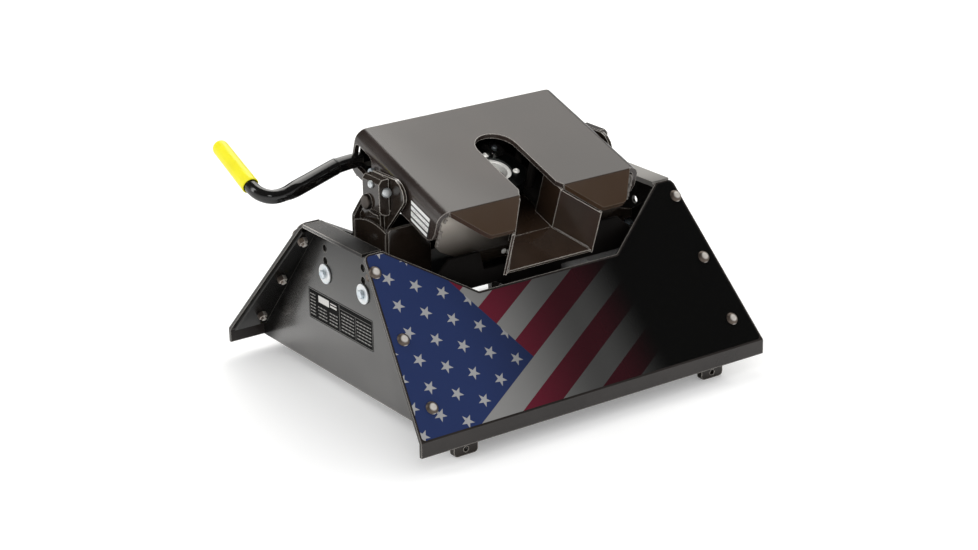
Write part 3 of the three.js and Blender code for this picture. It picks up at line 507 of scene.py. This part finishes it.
# Keyed by the CAD material slot where there is one.
MATERIALS = {
    "powder_coat_plate": powder_coat("base_powder_coat", color=(0.020, 0.0165, 0.015),
                                     roughness=0.20, peel=0.07, rim=0.45),
    "powder_coat_panel": panel_paint(),
    # painted shade: a near-black, dull coat for parts inside the cradle and under the head, so
    # they read as shadow
    "inner": powder_coat("inner_powder_coat", color=(0.0048, 0.0040, 0.0035),
                         roughness=0.55, peel=0.06, specular=0.05),
    "powder_coat_gloss": powder_coat("gloss_powder_coat", color=(0.018, 0.0125, 0.0090),
                                     roughness=0.14, peel=0.06, coat=0.25, rim=0.9),
    "chute": chute_paint(),
    "handle": powder_coat("handle_gloss_paint", color=(0.004, 0.0038, 0.0036),
                          roughness=0.12, peel=0.04, coat=0.3),
    "head_satin": head_paint(),
    # painted highlight: the welds get a paler base colour than the coat around them
    "weld": powder_coat("painted_weld", color=(0.15, 0.135, 0.12),
                        roughness=0.16, peel=0.10, coat=0.7),
    "zinc": metal("bright_zinc", color=(0.80, 0.86, 0.90), roughness=0.30,
                  tint=(0.66, 0.74, 0.80)),
    "washer": metal("washer_zinc", color=(0.97, 0.98, 0.98), roughness=0.50,
                    tint=(0.86, 0.92, 0.95), spots=0.2),
    "stainless": stainless(),
    "pin_steel": metal("oiled_pin_steel", color=(0.10, 0.085, 0.075), roughness=0.36),
    "jaw_steel": metal("oiled_jaw_steel", color=(0.055, 0.060, 0.060), roughness=0.30),
    # partly bright steel, partly painted reflection: a near-white base with low metallic makes
    # the jaw's wear face and screws read bright in the shaded throat
    "bright_steel": metal("polished_wear_face", color=(0.97, 0.96, 0.91), roughness=0.40,
                          metallic=0.25),
    "grip_vinyl": grip_vinyl(),
    "film": film_print(),
    "data_plate": data_plate_print(),
    "flange_label": flange_print(),
    "floor": pale_floor(),
}


# ---------------------------------------------------------------- CAD nodes
def soften(obj, bevel, segments=2, angle=28):
    """Rounded edges and weighted normals."""
    if bevel:
        edge = obj.modifiers.new("edge", "BEVEL")
        edge.width = bevel
        edge.segments = segments
        edge.limit_method = "ANGLE"
        edge.angle_limit = math.radians(angle)
        edge.miter_outer = "MITER_ARC"
        edge.use_clamp_overlap = True
    triangles = obj.modifiers.new("tris", "TRIANGULATE")
    triangles.keep_custom_normals = False
    triangles.min_vertices = 5
    normals = obj.modifiers.new("normals", "WEIGHTED_NORMAL")
    normals.mode = "FACE_AREA"
    normals.weight = 100
    normals.keep_sharp = True


def dress(mesh, material):
    for polygon in mesh.polygons:
        polygon.use_smooth = True
    mesh.materials.append(MATERIALS[material].material)


def finish_node(name, material, bevel):
    """Material and rounded edges on a CAD node, by modifiers only."""
    obj = nodes[name]
    obj.data.materials.clear()
    dress(obj.data, material)
    merge = obj.modifiers.new("weld", "WELD")
    merge.merge_threshold = 2e-5
    planar = obj.modifiers.new("planar", "DECIMATE")
    planar.decimate_type = "DISSOLVE"
    planar.angle_limit = math.radians(0.6)
    soften(obj, bevel, segments=3)


# name prefixes that take a finer or a broader bevel, metres
BEVELS = (
    (("bolt_", "height_bolt", "keeper_bolt", "block_bolt", "safety_ring", "return_spring"),
     0.0004),
    (("throat_wall", "belly_pan", "head_plate", "pivot_block", "saddle", "cheek", "rear_plate",
      "front_plate"), 0.0016),
    (("",), 0.0010),
)
# nodes whose material isn't their slot's
OWN_MATERIAL = {
    # inner puts painted shade on these parts; chute carries painted light and shade
    "cradle_trough": "inner", "cradle_end_left": "inner", "cradle_end_right": "inner",
    "jaw_carrier": "inner", "handle_guide": "inner", "rocker_beam": "inner",
    "handle_bar": "handle", "roll_shaft": "pin_steel",
    "throat_wall_left": "chute", "throat_wall_right": "chute", "belly_pan": "chute",
}
for name in nodes:
    node_bevel = next(width for prefixes, width in BEVELS if name.startswith(prefixes))
    finish_node(name, OWN_MATERIAL.get(name) or SLOT_OF[name], node_bevel)


# ---------------------------------------------------------------- mesh helpers
def make(name, bm, material, body, slot=None, replaces=None, bevel=0.0, segments=2, angle=30):
    bmesh.ops.remove_doubles(bm, verts=bm.verts, dist=1e-7)
    bmesh.ops.recalc_face_normals(bm, faces=bm.faces)
    mesh = bpy.data.meshes.new(name)
    bm.to_mesh(mesh)
    bm.free()
    dress(mesh, material)
    obj = bpy.data.objects.new(name, mesh)
    scene.collection.objects.link(obj)
    soften(obj, bevel, segments, angle)
    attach(obj, body)
    if replaces:
        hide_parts(replaces)


def bridge(bm, low, high):
    """Walls between two equal loops of vertices."""
    for i in range(len(low)):
        j = (i + 1) % len(low)
        bm.faces.new((low[i], low[j], high[j], high[i]))


def prism(bm, points, offset):
    low = [bm.verts.new(p) for p in points]
    high = [bm.verts.new(p + offset) for p in points]
    bm.faces.new(low[::-1])
    bm.faces.new(high)
    bridge(bm, low, high)


def axes(origin, z, x=None):
    """A frame at origin whose z axis is z."""
    z = z.normalized()
    x = x or (Z_AXIS if abs(z.z) < 0.9 else X_AXIS)
    y = z.cross(x).normalized()
    x = y.cross(z)
    matrix = Matrix((x, y, z)).transposed().to_4x4()
    matrix.translation = origin
    return matrix


def lathe(bm, place, profile, segments, turn=0.0, closed=False):
    """Turns a profile of (radius, height) in millimetres about place's z axis."""
    rings = []
    for radius, z in profile:
        if radius < 1e-6:
            rings.append([bm.verts.new(place @ Vector((0, 0, z * MM)))])
            continue
        angles = [turn + 2 * math.pi * i / segments for i in range(segments)]
        rings.append([bm.verts.new(place @ Vector((
            radius * MM * math.cos(a), radius * MM * math.sin(a), z * MM))) for a in angles])
    pairs = list(zip(rings, rings[1:])) + ([(rings[-1], rings[0])] if closed else [])
    for low, high in pairs:
        if len(low) == 1 and len(high) == 1:
            continue
        for i in range(segments):
            j = (i + 1) % segments
            if len(low) == 1:
                bm.faces.new((low[0], high[i], high[j]))
            elif len(high) == 1:
                bm.faces.new((low[i], high[0], low[j]))
            else:
                bm.faces.new((low[i], high[i], high[j], low[j]))


def turned(name, place, parts, material, body, **options):
    """One object from lathe parts, each (profile, segments[, turn[, closed]])."""
    bm = bmesh.new()
    for part in parts:
        lathe(bm, place, *part)
    make(name, bm, material, body, **options)


def spline(points, per=7):
    """Catmull-Rom through points."""
    out = []
    last = len(points) - 1
    for i in range(last):
        p0, p1, p2, p3 = (points[min(last, max(0, i + k))] for k in (-1, 0, 1, 2))
        for k in range(per):
            t = k / per
            out.append(0.5 * ((2 * p1) + (p2 - p0) * t + (2 * p0 - 5 * p1 + 4 * p2 - p3) * t * t
                              + (3 * p1 - 3 * p2 + p3 - p0) * t ** 3))
    out.append(points[-1].copy())
    return out


def sweep(bm, path, section, reference):
    """Sweeps section(i) -> [(sideways, along reference) mm] along path, with closed ends."""
    last = len(path) - 1
    rings = []
    for i, p in enumerate(path):
        tangent = (path[min(last, i + 1)] - path[max(0, i - 1)]).normalized()
        side = tangent.cross(reference).normalized()
        up = side.cross(tangent).normalized()
        rings.append([bm.verts.new(p + side * (a * MM) + up * (b * MM)) for a, b in section(i)])
    for low, high in zip(rings, rings[1:]):
        bridge(bm, low, high)
    bm.faces.new(rings[0][::-1])
    bm.faces.new(rings[-1])


def circle(radius, count):
    angles = [2 * math.pi * i / count for i in range(count)]
    return [(radius * math.cos(a), radius * math.sin(a)) for a in angles]


def arc(x, y, radius, degrees):
    return [(x + radius * math.cos(math.radians(a)), y + radius * math.sin(math.radians(a)))
            for a in degrees]


def superellipse(half_width, half_height, power, count=36):
    out = []
    for x, y in circle(1, count):
        out.append((half_width * math.copysign(abs(x) ** (2 / power), x),
                    half_height * math.copysign(abs(y) ** (2 / power), y)))
    return out


def weld(bm, points, radius, seed, wobble=0.18):
    """A weld bead: overlapping ripples along a line, four stations to a ripple."""
    ripple = 2.6
    rng = random.Random(seed)
    path = []
    for start, end in zip(points, points[1:]):
        steps = max(2, int((end - start).length / MM / (ripple / 4)))
        path += [start.lerp(end, i / steps) for i in range(steps)]
    path.append(points[-1])
    count = len(path)
    direction = (points[-1] - points[0]).normalized()
    reference = Z_AXIS if abs(direction.z) < 0.9 else X_AXIS
    phase = rng.random() * 6
    # sideways and upward shift, and swelling, of each ripple
    jitter = [(rng.uniform(-wobble, wobble), rng.uniform(-wobble, wobble),
               rng.uniform(0.85, 1.12)) for _ in range(count // 4 + 3)]

    def section(i):
        saw = (i / 4.0 + phase) % 1.0
        f = (i % 4) / 4.0
        dx, dy, swell = (a * (1 - f) + b * f for a, b in zip(jitter[i // 4], jitter[i // 4 + 1]))
        taper = min(1.0, 0.35 + 3.5 * min(i, count - 1 - i) / max(8, count / 3))
        size = radius * swell * taper * (0.90 + 0.16 * (1 - saw) ** 0.7)
        return [(a + dx * radius, b + dy * radius) for a, b in circle(size, 10)]

    sweep(bm, path, section, reference)


# ---------------------------------------------------------------- carriage bolts
# Profiles are (radius, height) in millimetres.
DOME = [(0, 6.9), (2.0, 6.78), (4.0, 6.4), (6.0, 5.7), (7.8, 4.7), (9.3, 3.4), (10.4, 1.9),
        (10.9, 0.9), (11, 0.35), (10.7, 0.3), (4.8, 0.3), (4.8, -25.4), (4.2, -26), (0, -26)]
DOME_NUT = [(0, -12.6), (8.0, -12.6), (8.7, -13.1), (8.7, -20.9), (7.6, -21.7), (0, -21.7)]
for side, where in ((-1, "rear"), (1, "front")):
    for side_x, hand in SIDES:
        for t, level in ((286.9, "top"), (168.8, "mid"), (50.6, "low")):
            node = "bolt_%s_%s_%s" % (where, hand, level)
            place = axes(slope(side_x * 307, t, 0, side), slope_outward(t, side), X_AXIS)
            turned("carriage_" + node, place, [(DOME, 40), (DOME_NUT, 6, 0.4)], "stainless",
                   "base", slot=SLOT_OF[node], replaces=node, bevel=0.0003, segments=1, angle=35)

# ---------------------------------------------------------------- height bolts and washers
WASHER = [(6.8, 0.3), (16.6, 0.3), (17.3, 0.9), (17.4, 2.6), (16.9, 3.3), (7.4, 3.5), (6.8, 3.1)]
HEIGHT_SHANK = [(0, 4.4), (6.2, 4.4), (6.2, -26.5), (5.6, -27), (0, -27)]
HEIGHT_HEAD = [(0, 8.6), (3.4, 8.6), (4.2, 9.3), (6.6, 9.3), (7.9, 8.5), (7.9, 3.7), (0, 3.7)]
HEIGHT_NUT = [(0, -12.9), (9.6, -12.9), (10.6, -13.6), (10.6, -22.6), (9.6, -23.3), (0, -23.3)]
for side_x, hand in SIDES:
    for y, where in ((75, "front"), (-43, "rear")):
        place = axes(base(side_x * 283.5, y, 179), Vector((side_x, 0, 0)),
                     Vector((0, 0.28, 0.96)))
        tag = "_%s_%s" % (hand, where)
        turned("washer_plate" + tag, place, [(WASHER, 56, 0.0, True)], "washer", "base",
               slot="zinc", replaces="height_washer" + tag, bevel=0.0002, segments=1, angle=40)
        turned("hex_height_bolt" + tag, place,
               [(HEIGHT_SHANK, 48), (HEIGHT_HEAD, 6, 0.3), (HEIGHT_NUT, 6, 0.1)], "zinc", "base",
               slot="zinc", replaces="height_bolt" + tag, bevel=0.0005, angle=35)

# ---------------------------------------------------------------- pins and small bolts
PIN = [(0, 241), (10.6, 241), (11.6, 240.6), (12.7, 239.4), (12.7, 151.8), (11.1, 150.2),
       (0, 150.2)]
CLAMP_BOLT = [(0, 29.6), (3.0, 29.5), (5.8, 28.9), (7.4, 27.8), (8.1, 26.2), (8.2, 22.6),
              (7.9, 22.3), (5.0, 22.3), (5, -39.0), (4.2, -40), (0, -40)]
CLAMP_NUT = [(0, -28.3), (6.9, -28.3), (7.6, -29), (7.6, -35.4), (6.9, -36.2), (0, -36.2)]
KEEPER = [(0, 4.4), (3.6, 4.3), (5.6, 3.7), (6.5, 2.6), (6.6, 0.2), (6.2, 0), (4.2, 0),
          (4.2, -10), (0, -10)]
PANEL_SCREW = [(0, 2.6), (2.6, 2.4), (4.2, 1.6), (4.9, 0.2), (4.9, -0.2), (0, -0.2)]
for side_x, hand in SIDES:
    outward = Vector((side_x, 0, 0))
    small = {"bevel": 0.0003, "segments": 1, "angle": 40}
    turned("trunnion_pin_" + hand, axes(base(0, PIVOT_Y, PIVOT_Z), outward), [(PIN, 64)],
           "pin_steel", "rocker", slot="pin_steel", replaces="pitch_pin_" + hand, **small)
    turned("clamp_bolt_" + hand,
           axes(base(side_x * 220.9, 0, 334), Vector((0, -1, 0)), Vector((1, 0, 0.3))),
           [(CLAMP_BOLT, 48), (CLAMP_NUT, 6)],
           "washer", "rocker", slot="zinc", replaces="block_bolt_" + hand, **small)
    turned("keeper_screw_" + hand,
           axes(base(side_x * 234.3, 0, 345), outward, Vector((0, 0.3, 1))), [(KEEPER, 40)],
           "washer", "rocker", slot="zinc", replaces="keeper_bolt_" + hand, **small)
    # on the head's rear panel
    turned("panel_screw_" + hand, axes(head(side_x * 51.8, -147.0, -46.0), HEAD_REAR),
           [(PANEL_SCREW, 32)], "bright_steel", "head", slot="zinc")

# ---------------------------------------------------------------- ring and spring
RING_RADIUS, RING_WIRE = 6.4, 1.55
RING_STUD = [(0, 8.1), (2.0, 8.0), (2.7, 7.4), (2.7, 0.35), (0, 0.35)]
bm = bmesh.new()
lathe(bm, axes(head(-208.2, 39.5, 25), HEAD_LEFT),
      [(RING_RADIUS + a, b) for a, b in circle(RING_WIRE, 14)], 48, closed=True)
lathe(bm, axes(head(-203, 39.5, 31.2), HEAD_LEFT), RING_STUD, 28)
make("pull_ring", bm, "zinc", "head", "zinc", "safety_ring")

COIL_START, COIL_LENGTH = -146, 52
COIL_V, COIL_W = 60, 24
COIL_RADIUS, COIL_WIRE = 6.5, 1.4
COIL_STEPS = 24                        # per turn
COIL_TOTAL = 7 * COIL_STEPS
bm = bmesh.new()
helix = [head(COIL_START + COIL_LENGTH * i / COIL_TOTAL,
              COIL_V + COIL_RADIUS * math.cos(i / COIL_STEPS * 2 * math.pi),
              COIL_W + COIL_RADIUS * math.sin(i / COIL_STEPS * 2 * math.pi))
         for i in range(COIL_TOTAL + 1)]
sweep(bm, helix, lambda i: circle(COIL_WIRE, 12), HEAD_RIGHT)
make("return_coil", bm, "zinc", "head", "zinc", "return_spring")

# ---------------------------------------------------------------- handle
# centreline stations in the head frame: (x, v, w)
HANDLE_LINE = [
    (-196, 89.8, 17), (-216, 89.6, 16.6), (-240, 88.0, 15.6), (-252, 85.6, 15),
    (-300, 70.6, 13), (-340, 57.6, 12.2), (-360, 52.0, 12), (-380, 49.8, 12),
    (-394, 55.5, 12), (-402.4, 68, 12), (-405, 84, 12), (-404.4, 100, 12),
    (-402.6, 130, 12), (-399.4, 190, 12)]
ARM_X = 46 * math.cos(math.radians(55))    # arm over the jaw ring
ARM_HALF = 14
ARM_FRONT = 99
SLOT_RADIUS, SLOT_LOW, SLOT_HIGH = 6.4, 18, 33
handle_path = spline([head(*station) for station in HANDLE_LINE])


def handle_section(i):
    station = i / (len(handle_path) - 1) * (len(HANDLE_LINE) - 1)
    if station < 2.4:                  # flattened stock leaving the head
        k = station / 2.4
        return superellipse(9.6 + 0.8 * k, 11.2 + 1.0 * k, 3.4)
    if station < 6.2:                  # straight run: deep, nearly flat sides
        k = min(1, (station - 2.4) / 0.25)
        q = max(0.0, (station - 5.0) / 1.2)
        return superellipse(10.4 + 1.0 * k - 0.1 * q, 12.2 + 1.6 * k - 2.1 * q,
                            3.4 - 0.5 * k - 0.8 * q)
    k = min(1, (station - 6.2) / 1.0)  # round end
    return superellipse(11.3 + 0.2 * k, 11.7 - 0.2 * k, 2.1)


def plate_with_hole(bm, outer, hole, to_3d, thickness):
    """A plate with one hole, from 2D outlines placed by to_3d."""
    flat = bmesh.new()
    edges = []
    for loop in (outer, hole):
        verts = [flat.verts.new((x, y, 0)) for x, y in loop]
        edges += [flat.edges.new((verts[i], verts[(i + 1) % len(verts)]))
                  for i in range(len(verts))]
    bmesh.ops.triangle_fill(flat, edges=edges, use_beauty=True, use_dissolve=False)
    flat.verts.index_update()
    low = [bm.verts.new(to_3d(v.co.x, v.co.y)) for v in flat.verts]
    high = [bm.verts.new(to_3d(v.co.x, v.co.y) + thickness) for v in flat.verts]
    for face in flat.faces:
        corners = [v.index for v in face.verts]
        bm.faces.new([low[i] for i in corners][::-1])
        bm.faces.new([high[i] for i in corners])
    split_at = len(outer)
    bridge(bm, low[:split_at], high[:split_at])
    bridge(bm, low[split_at:], high[split_at:])
    flat.free()


bm = bmesh.new()
sweep(bm, handle_path, handle_section, HEAD_OUT)
# flat bar inside the head, then the arm: an upright plate and a slotted top plate
prism(bm, [head(-200, v, w) for v, w in ((80, 7), (99, 7), (99, 17), (80, 17))],
      HEAD_RIGHT * (200 + ARM_X + ARM_HALF) * MM)
prism(bm, [head(ARM_X - ARM_HALF, v, w)
           for v, w in ((84, 7), (ARM_FRONT, 7), (ARM_FRONT, 33), (84, 33))],
      HEAD_RIGHT * 0.028)
slot_outline = ([(ARM_X - SLOT_RADIUS, SLOT_LOW)]
                + arc(ARM_X, SLOT_LOW, SLOT_RADIUS, range(200, 360, 20))
                + [(ARM_X + SLOT_RADIUS, SLOT_LOW), (ARM_X + SLOT_RADIUS, SLOT_HIGH)]
                + arc(ARM_X, SLOT_HIGH, SLOT_RADIUS, range(20, 180, 20))
                + [(ARM_X - SLOT_RADIUS, SLOT_HIGH)])
arm_outline = [(ARM_X + dx, v) for dx, v in (
    (-ARM_HALF, 10), (-11, 7), (11, 7), (ARM_HALF, 10), (ARM_HALF, ARM_FRONT),
    (-ARM_HALF, ARM_FRONT))]
plate_with_hole(bm, arm_outline, slot_outline, lambda x, v: head(x, v, 24), HEAD_OUT * 0.009)
make("pull_handle", bm, "handle", "handle", SLOT_OF["handle_bar"], "handle_bar",
     bevel=0.0006, angle=35)

# weld where the tube meets the flattened stock
bm = bmesh.new()
weld(bm, [head(-249, 86.2 + 10.6 * math.cos(a), 15.2 + 12.6 * math.sin(a))
          for a in map(math.radians, range(35, 150, 8))], radius=2.0, seed=5)
make("handle_weld", bm, "handle", "handle", SLOT_OF["handle_bar"])

# dipped grip: rolled lip at the open end, rounded tip
grip_open, grip_tip = head(-404.9, 90, 12), head(-398.0, 211.5, 12)
grip_axis = grip_tip - grip_open
length = grip_axis.length / MM
GRIP = [(12.3, 0.4), (13.3, -0.2), (14.3, 0.5), (14.75, 2.2), (14.6, 5.0), (14.5, 12),
        (14.35, 30), (14.1, 55), (13.9, 80), (13.8, length - 12), (13.5, length - 8),
        (12.6, length - 4.4), (10.6, length - 1.8), (7.4, length - 0.5), (3.6, length - 0.05),
        (0, length), (0, length - 5), (12.3, length - 6)]
turned("vinyl_grip", axes(grip_open, grip_axis, HEAD_OUT), [(GRIP, 64, 0.0, True)],
       "grip_vinyl", "handle", slot=SLOT_OF["handle_grip"], replaces="handle_grip")


# ---------------------------------------------------------------- film on the rear plate
def film_edge(t):
    """The film's side edge, 4 mm inside the tapering plate's."""
    return 350 - 35.5 * t / SLOPE_LENGTH - 4


# right half as (x, t): rounded corners, then down the shoulder to the middle notch
film_half = (arc(film_edge(8) - 6, 9.5, 6, range(270, 361, 15))
             + [(film_edge(308), 308)]
             + arc(film_edge(309) - 7, 308.7, 7, range(15, 91, 15))
             + [(283, 315.7), (279.6, 314.4), (277.2, 312), (144.5, 211.1), (142.2, 209.8),
                (139.5, 209.5)])
film_outline = film_half + [(-x, t) for x, t in reversed(film_half)]
bm = bmesh.new()
prism(bm, [slope(x, t, 0.05) for x, t in film_outline], slope_outward(0).normalized() * 0.00019)
make("plate_film", bm, "film", "base")

# ---------------------------------------------------------------- labels
LABEL_CORNER = 3
LABEL_THICKNESS = Vector((-0.0002, 0, 0))
label_outline = []
for x, y, start in ((LABEL_LENGTH - LABEL_CORNER, LABEL_CORNER, -90),
                    (LABEL_LENGTH - LABEL_CORNER, LABEL_HEIGHT - LABEL_CORNER, 0),
                    (LABEL_CORNER, LABEL_HEIGHT - LABEL_CORNER, 90),
                    (LABEL_CORNER, LABEL_CORNER, 180)):
    label_outline += arc(x, y, LABEL_CORNER, [start + 90 * i / 4 for i in range(5)])
bm = bmesh.new()
prism(bm, [base(-283.55, LABEL_FRONT - back, LABEL_FOOT + up) for back, up in label_outline],
      LABEL_THICKNESS)
make("data_plate_label", bm, "data_plate", "base")

# (v, w) in the head frame
FLANGE_LABEL = [(-72.5, 43.5), (-128, 44.2), (-130, 42.5), (-132.8, 10), (-131.6, 8.4),
                (-82.6, 9.6), (-81, 11)]
bm = bmesh.new()
prism(bm, [head(-203.05, v, w) for v, w in FLANGE_LABEL], LABEL_THICKNESS)
make("flange_label", bm, "flange_label", "head")

# ---------------------------------------------------------------- jaw screws
JAW_SCREW = [(0, 1.4), (2.2, 1.4), (2.3, 3.2), (3.6, 3.1), (5.0, 2.3), (5.7, 1.0), (5.8, 0.1),
             (5.8, -0.4), (0, -0.4)]
for i, (x, v) in enumerate(arc(0.0, -16.0, 40.5, (73, -28, 152))):
    turned("jaw_screw_%d" % i, axes(head(x, v, 20), HEAD_OUT, HEAD_RIGHT), [(JAW_SCREW, 36)],
           "bright_steel", "jaw", slot="zinc")

# ---------------------------------------------------------------- welds
# Right-hand beads, mirrored for the left: (radius, seed, wobble, points...)
BLOCK_BEADS = [     # block to its plate, rougher passes below it, then up the rear edge
    (2.6, 11, 0.18, (221.6, 44, 293.4), (221.8, 10, 295.0), (221.6, -21, 293.4)),
    (1.8, 12, 0.2, (219.7, 36, 288.0), (219.9, 16, 285.6), (219.7, 2, 286.5)),
    (1.7, 13, 0.2, (219.7, 30, 283.2), (219.8, 22, 281.6)),
    (1.7, 14, 0.2, (219.7, 8, 282.6), (219.7, 1, 282.0)),
    (2.4, 15, 0.4, (213.6, -6, 292.0), (214.0, -18, 296.0), (214.0, -22, 302.0)),
]
HEAD_BEADS = [      # the last two: ramp tip to throat wall, and wall's lower corner to the lip
    (2.6, 21, 0.4, (194.0, -146.6, 44), (193.8, -147.2, 24), (193.2, -147.0, -2)),
    (2.4, 22, 0.5, (190.5, -148.6, 46.5), (185.0, -149.4, 53.2)),
    (2.2, 23, 0.6, (191.0, -148.2, 30), (190.4, -148.4, 16)),
    (2.3, 24, 0.3, (86.0, -200.4, 38.4), (88.8, -205.0, 36.4)),
    (1.3, 25, 0.12, (41.6, -151, -18.8), (60, -175, -26.4), (82.6, -203.4, -35.2)),
]
CHEEK_BEADS = [
    (1.6, 31, 0.18, (232.4, 60.6, 268), (232.6, 60.8, 240), (232.4, 60.8, 214)),
    (1.6, 32, 0.18, (232.4, -34.6, 266), (232.6, -34.6, 240), (232.4, -34.6, 214)),
    (2.0, 33, 0.18, (271.0, -36.4, 188), (271.0, -37.0, 206)),
]
for side_x, hand in SIDES:
    for name, beads, to_world, body, slot_node in (
            ("block_weld_", BLOCK_BEADS, base, "rocker", "pivot_block_left"),
            ("head_weld_", HEAD_BEADS, head, "head", "throat_wall_left"),
            ("cheek_weld_", CHEEK_BEADS, base, "base", "cheek_rear_left")):
        bm = bmesh.new()
        for radius, seed, wobble, *points in beads:
            weld(bm, [to_world(side_x * x, y, z) for x, y, z in points], radius, seed, wobble)
        make(name + hand, bm, "weld", body, SLOT_OF[slot_node])

# ---------------------------------------------------------------- floor
FLOOR_Z = -0.0272
FLOOR_HALF = 14.0
bm = bmesh.new()
bm.faces.new([bm.verts.new((x * FLOOR_HALF, y * FLOOR_HALF, FLOOR_Z))
              for x, y in ((-1, -1), (1, -1), (1, 1), (-1, 1))])
floor_mesh = bpy.data.meshes.new("floor")
bm.to_mesh(floor_mesh)
bm.free()
floor = bpy.data.objects.new("floor", floor_mesh)
scene.collection.objects.link(floor)
floor_mesh.materials.append(MATERIALS["floor"].material)


# ---------------------------------------------------------------- world
def light_world():
    """White to the camera; reflections are brighter low down and to the front."""
    world = bpy.data.worlds.new("studio")
    scene.world = world
    world.use_nodes = True
    tree = world.node_tree
    background = tree.nodes["Background"]
    rays = tree.nodes.new("ShaderNodeLightPath").outputs
    coords = tree.nodes.new("ShaderNodeTexCoord")
    y, z = split(tree, coords.outputs["Generated"], "YZ")
    front = y.ramp(-0.35, 0.75)
    low = 1.0 - z.ramp(0.05, 0.55)
    horizon = z.ramp(-0.30, -0.05) * (1.0 - z.ramp(0.10, 0.28))
    reflected = low * front * 0.42 + horizon * 0.62 + 0.03
    camera_ray = Field(tree, rays["Is Camera Ray"])
    glossy_ray = Field(tree, rays["Is Glossy Ray"])
    strength = camera_ray * 1.0 + (1.0 - camera_ray) * (
        glossy_ray * reflected + (1.0 - glossy_ray) * 0.85)
    background.inputs["Color"].default_value = (1.0, 1.0, 1.0, 1)
    tree.links.new(strength.socket, background.inputs["Strength"])


light_world()


# ---------------------------------------------------------------- lights
def add_light(light, location, target):
    """Places a light at location, aimed at target."""
    obj = bpy.data.objects.new(light.name, light)
    scene.collection.objects.link(obj)
    obj.location = location
    obj.rotation_mode = "QUATERNION"
    direction = (Vector(target) - Vector(location)).normalized()
    obj.rotation_quaternion = direction.to_track_quat("-Z", "Y")
    return obj


def area(name, location, target, size, power, size_y=None, color=(1, 1, 1)):
    light = bpy.data.lights.new(name, "AREA")
    light.shape = "RECTANGLE"
    light.size = size
    light.size_y = size_y or size
    light.energy = power
    light.color = color
    light.spread = math.radians(180)
    add_light(light, location, target).visible_camera = False
    return light


# large softbox to the front right, which the head's top face reflects; brighter to one side
key_target = Vector((-0.05, CENTRE_Y + 0.05, 0.36))
key = area("key_softbox", key_target + Vector((0.56, 0.43, 0.72)).normalized() * 3.0, key_target,
           size=2.7, size_y=2.0, power=30, color=(1.0, 0.985, 0.945))
key.use_nodes = True
tree = key.node_tree
geometry = tree.nodes.new("ShaderNodeNewGeometry")
u, v = split(tree, geometry.outputs["Parametric"], "XY")
glow = 1.0 + (u + v * 0.15).ramp(0.60, 0.86) * 0.9
tree.links.new(glow.socket, tree.nodes["Emission"].inputs["Strength"])

area("left_strip", (-1.7, CENTRE_Y + 0.5, 1.3), (-0.2, CENTRE_Y, 0.2),
     size=0.35, size_y=1.6, power=7)
area("rear_fill", (-1.3, CENTRE_Y - 2.4, 1.9), (0, CENTRE_Y, 0.15), size=0.7, power=6)

# narrow beam down the throat onto the jaw's seat
beam = bpy.data.lights.new("throat_beam", "SPOT")
beam.energy = 26
beam.spot_size = math.radians(8.5)
beam.spot_blend = 0.55
beam.shadow_soft_size = 0.03
seat = head(0, 0, 20)
add_light(beam, seat + Vector((-0.533, -0.70, 0.62)).normalized() * 1.1, seat)

# ---------------------------------------------------------------- camera
azimuth, elevation, roll = (math.radians(a) for a in (-34.6948, 20.6008, -1.1362))
back = Vector((math.sin(azimuth) * math.cos(elevation),
               -math.cos(azimuth) * math.cos(elevation), math.sin(elevation)))
level = Vector((math.cos(azimuth), math.sin(azimuth), 0))
up = back.cross(level)
right = math.cos(roll) * level + math.sin(roll) * up
rolled_up = -math.sin(roll) * level + math.cos(roll) * up
lens = bpy.data.cameras.new("camera")
lens.lens = 84.38
lens.sensor_width = 36
camera = bpy.data.objects.new("camera", lens)
scene.collection.objects.link(camera)
pose = Matrix((right, rolled_up, back)).transposed().to_4x4()
pose.translation = Vector((-2.09378, CENTRE_Y - 3.01659, 1.51365))
camera.matrix_world = pose
scene.camera = camera
scene.view_settings.view_transform = "Standard"
scene.view_settings.look = "None"
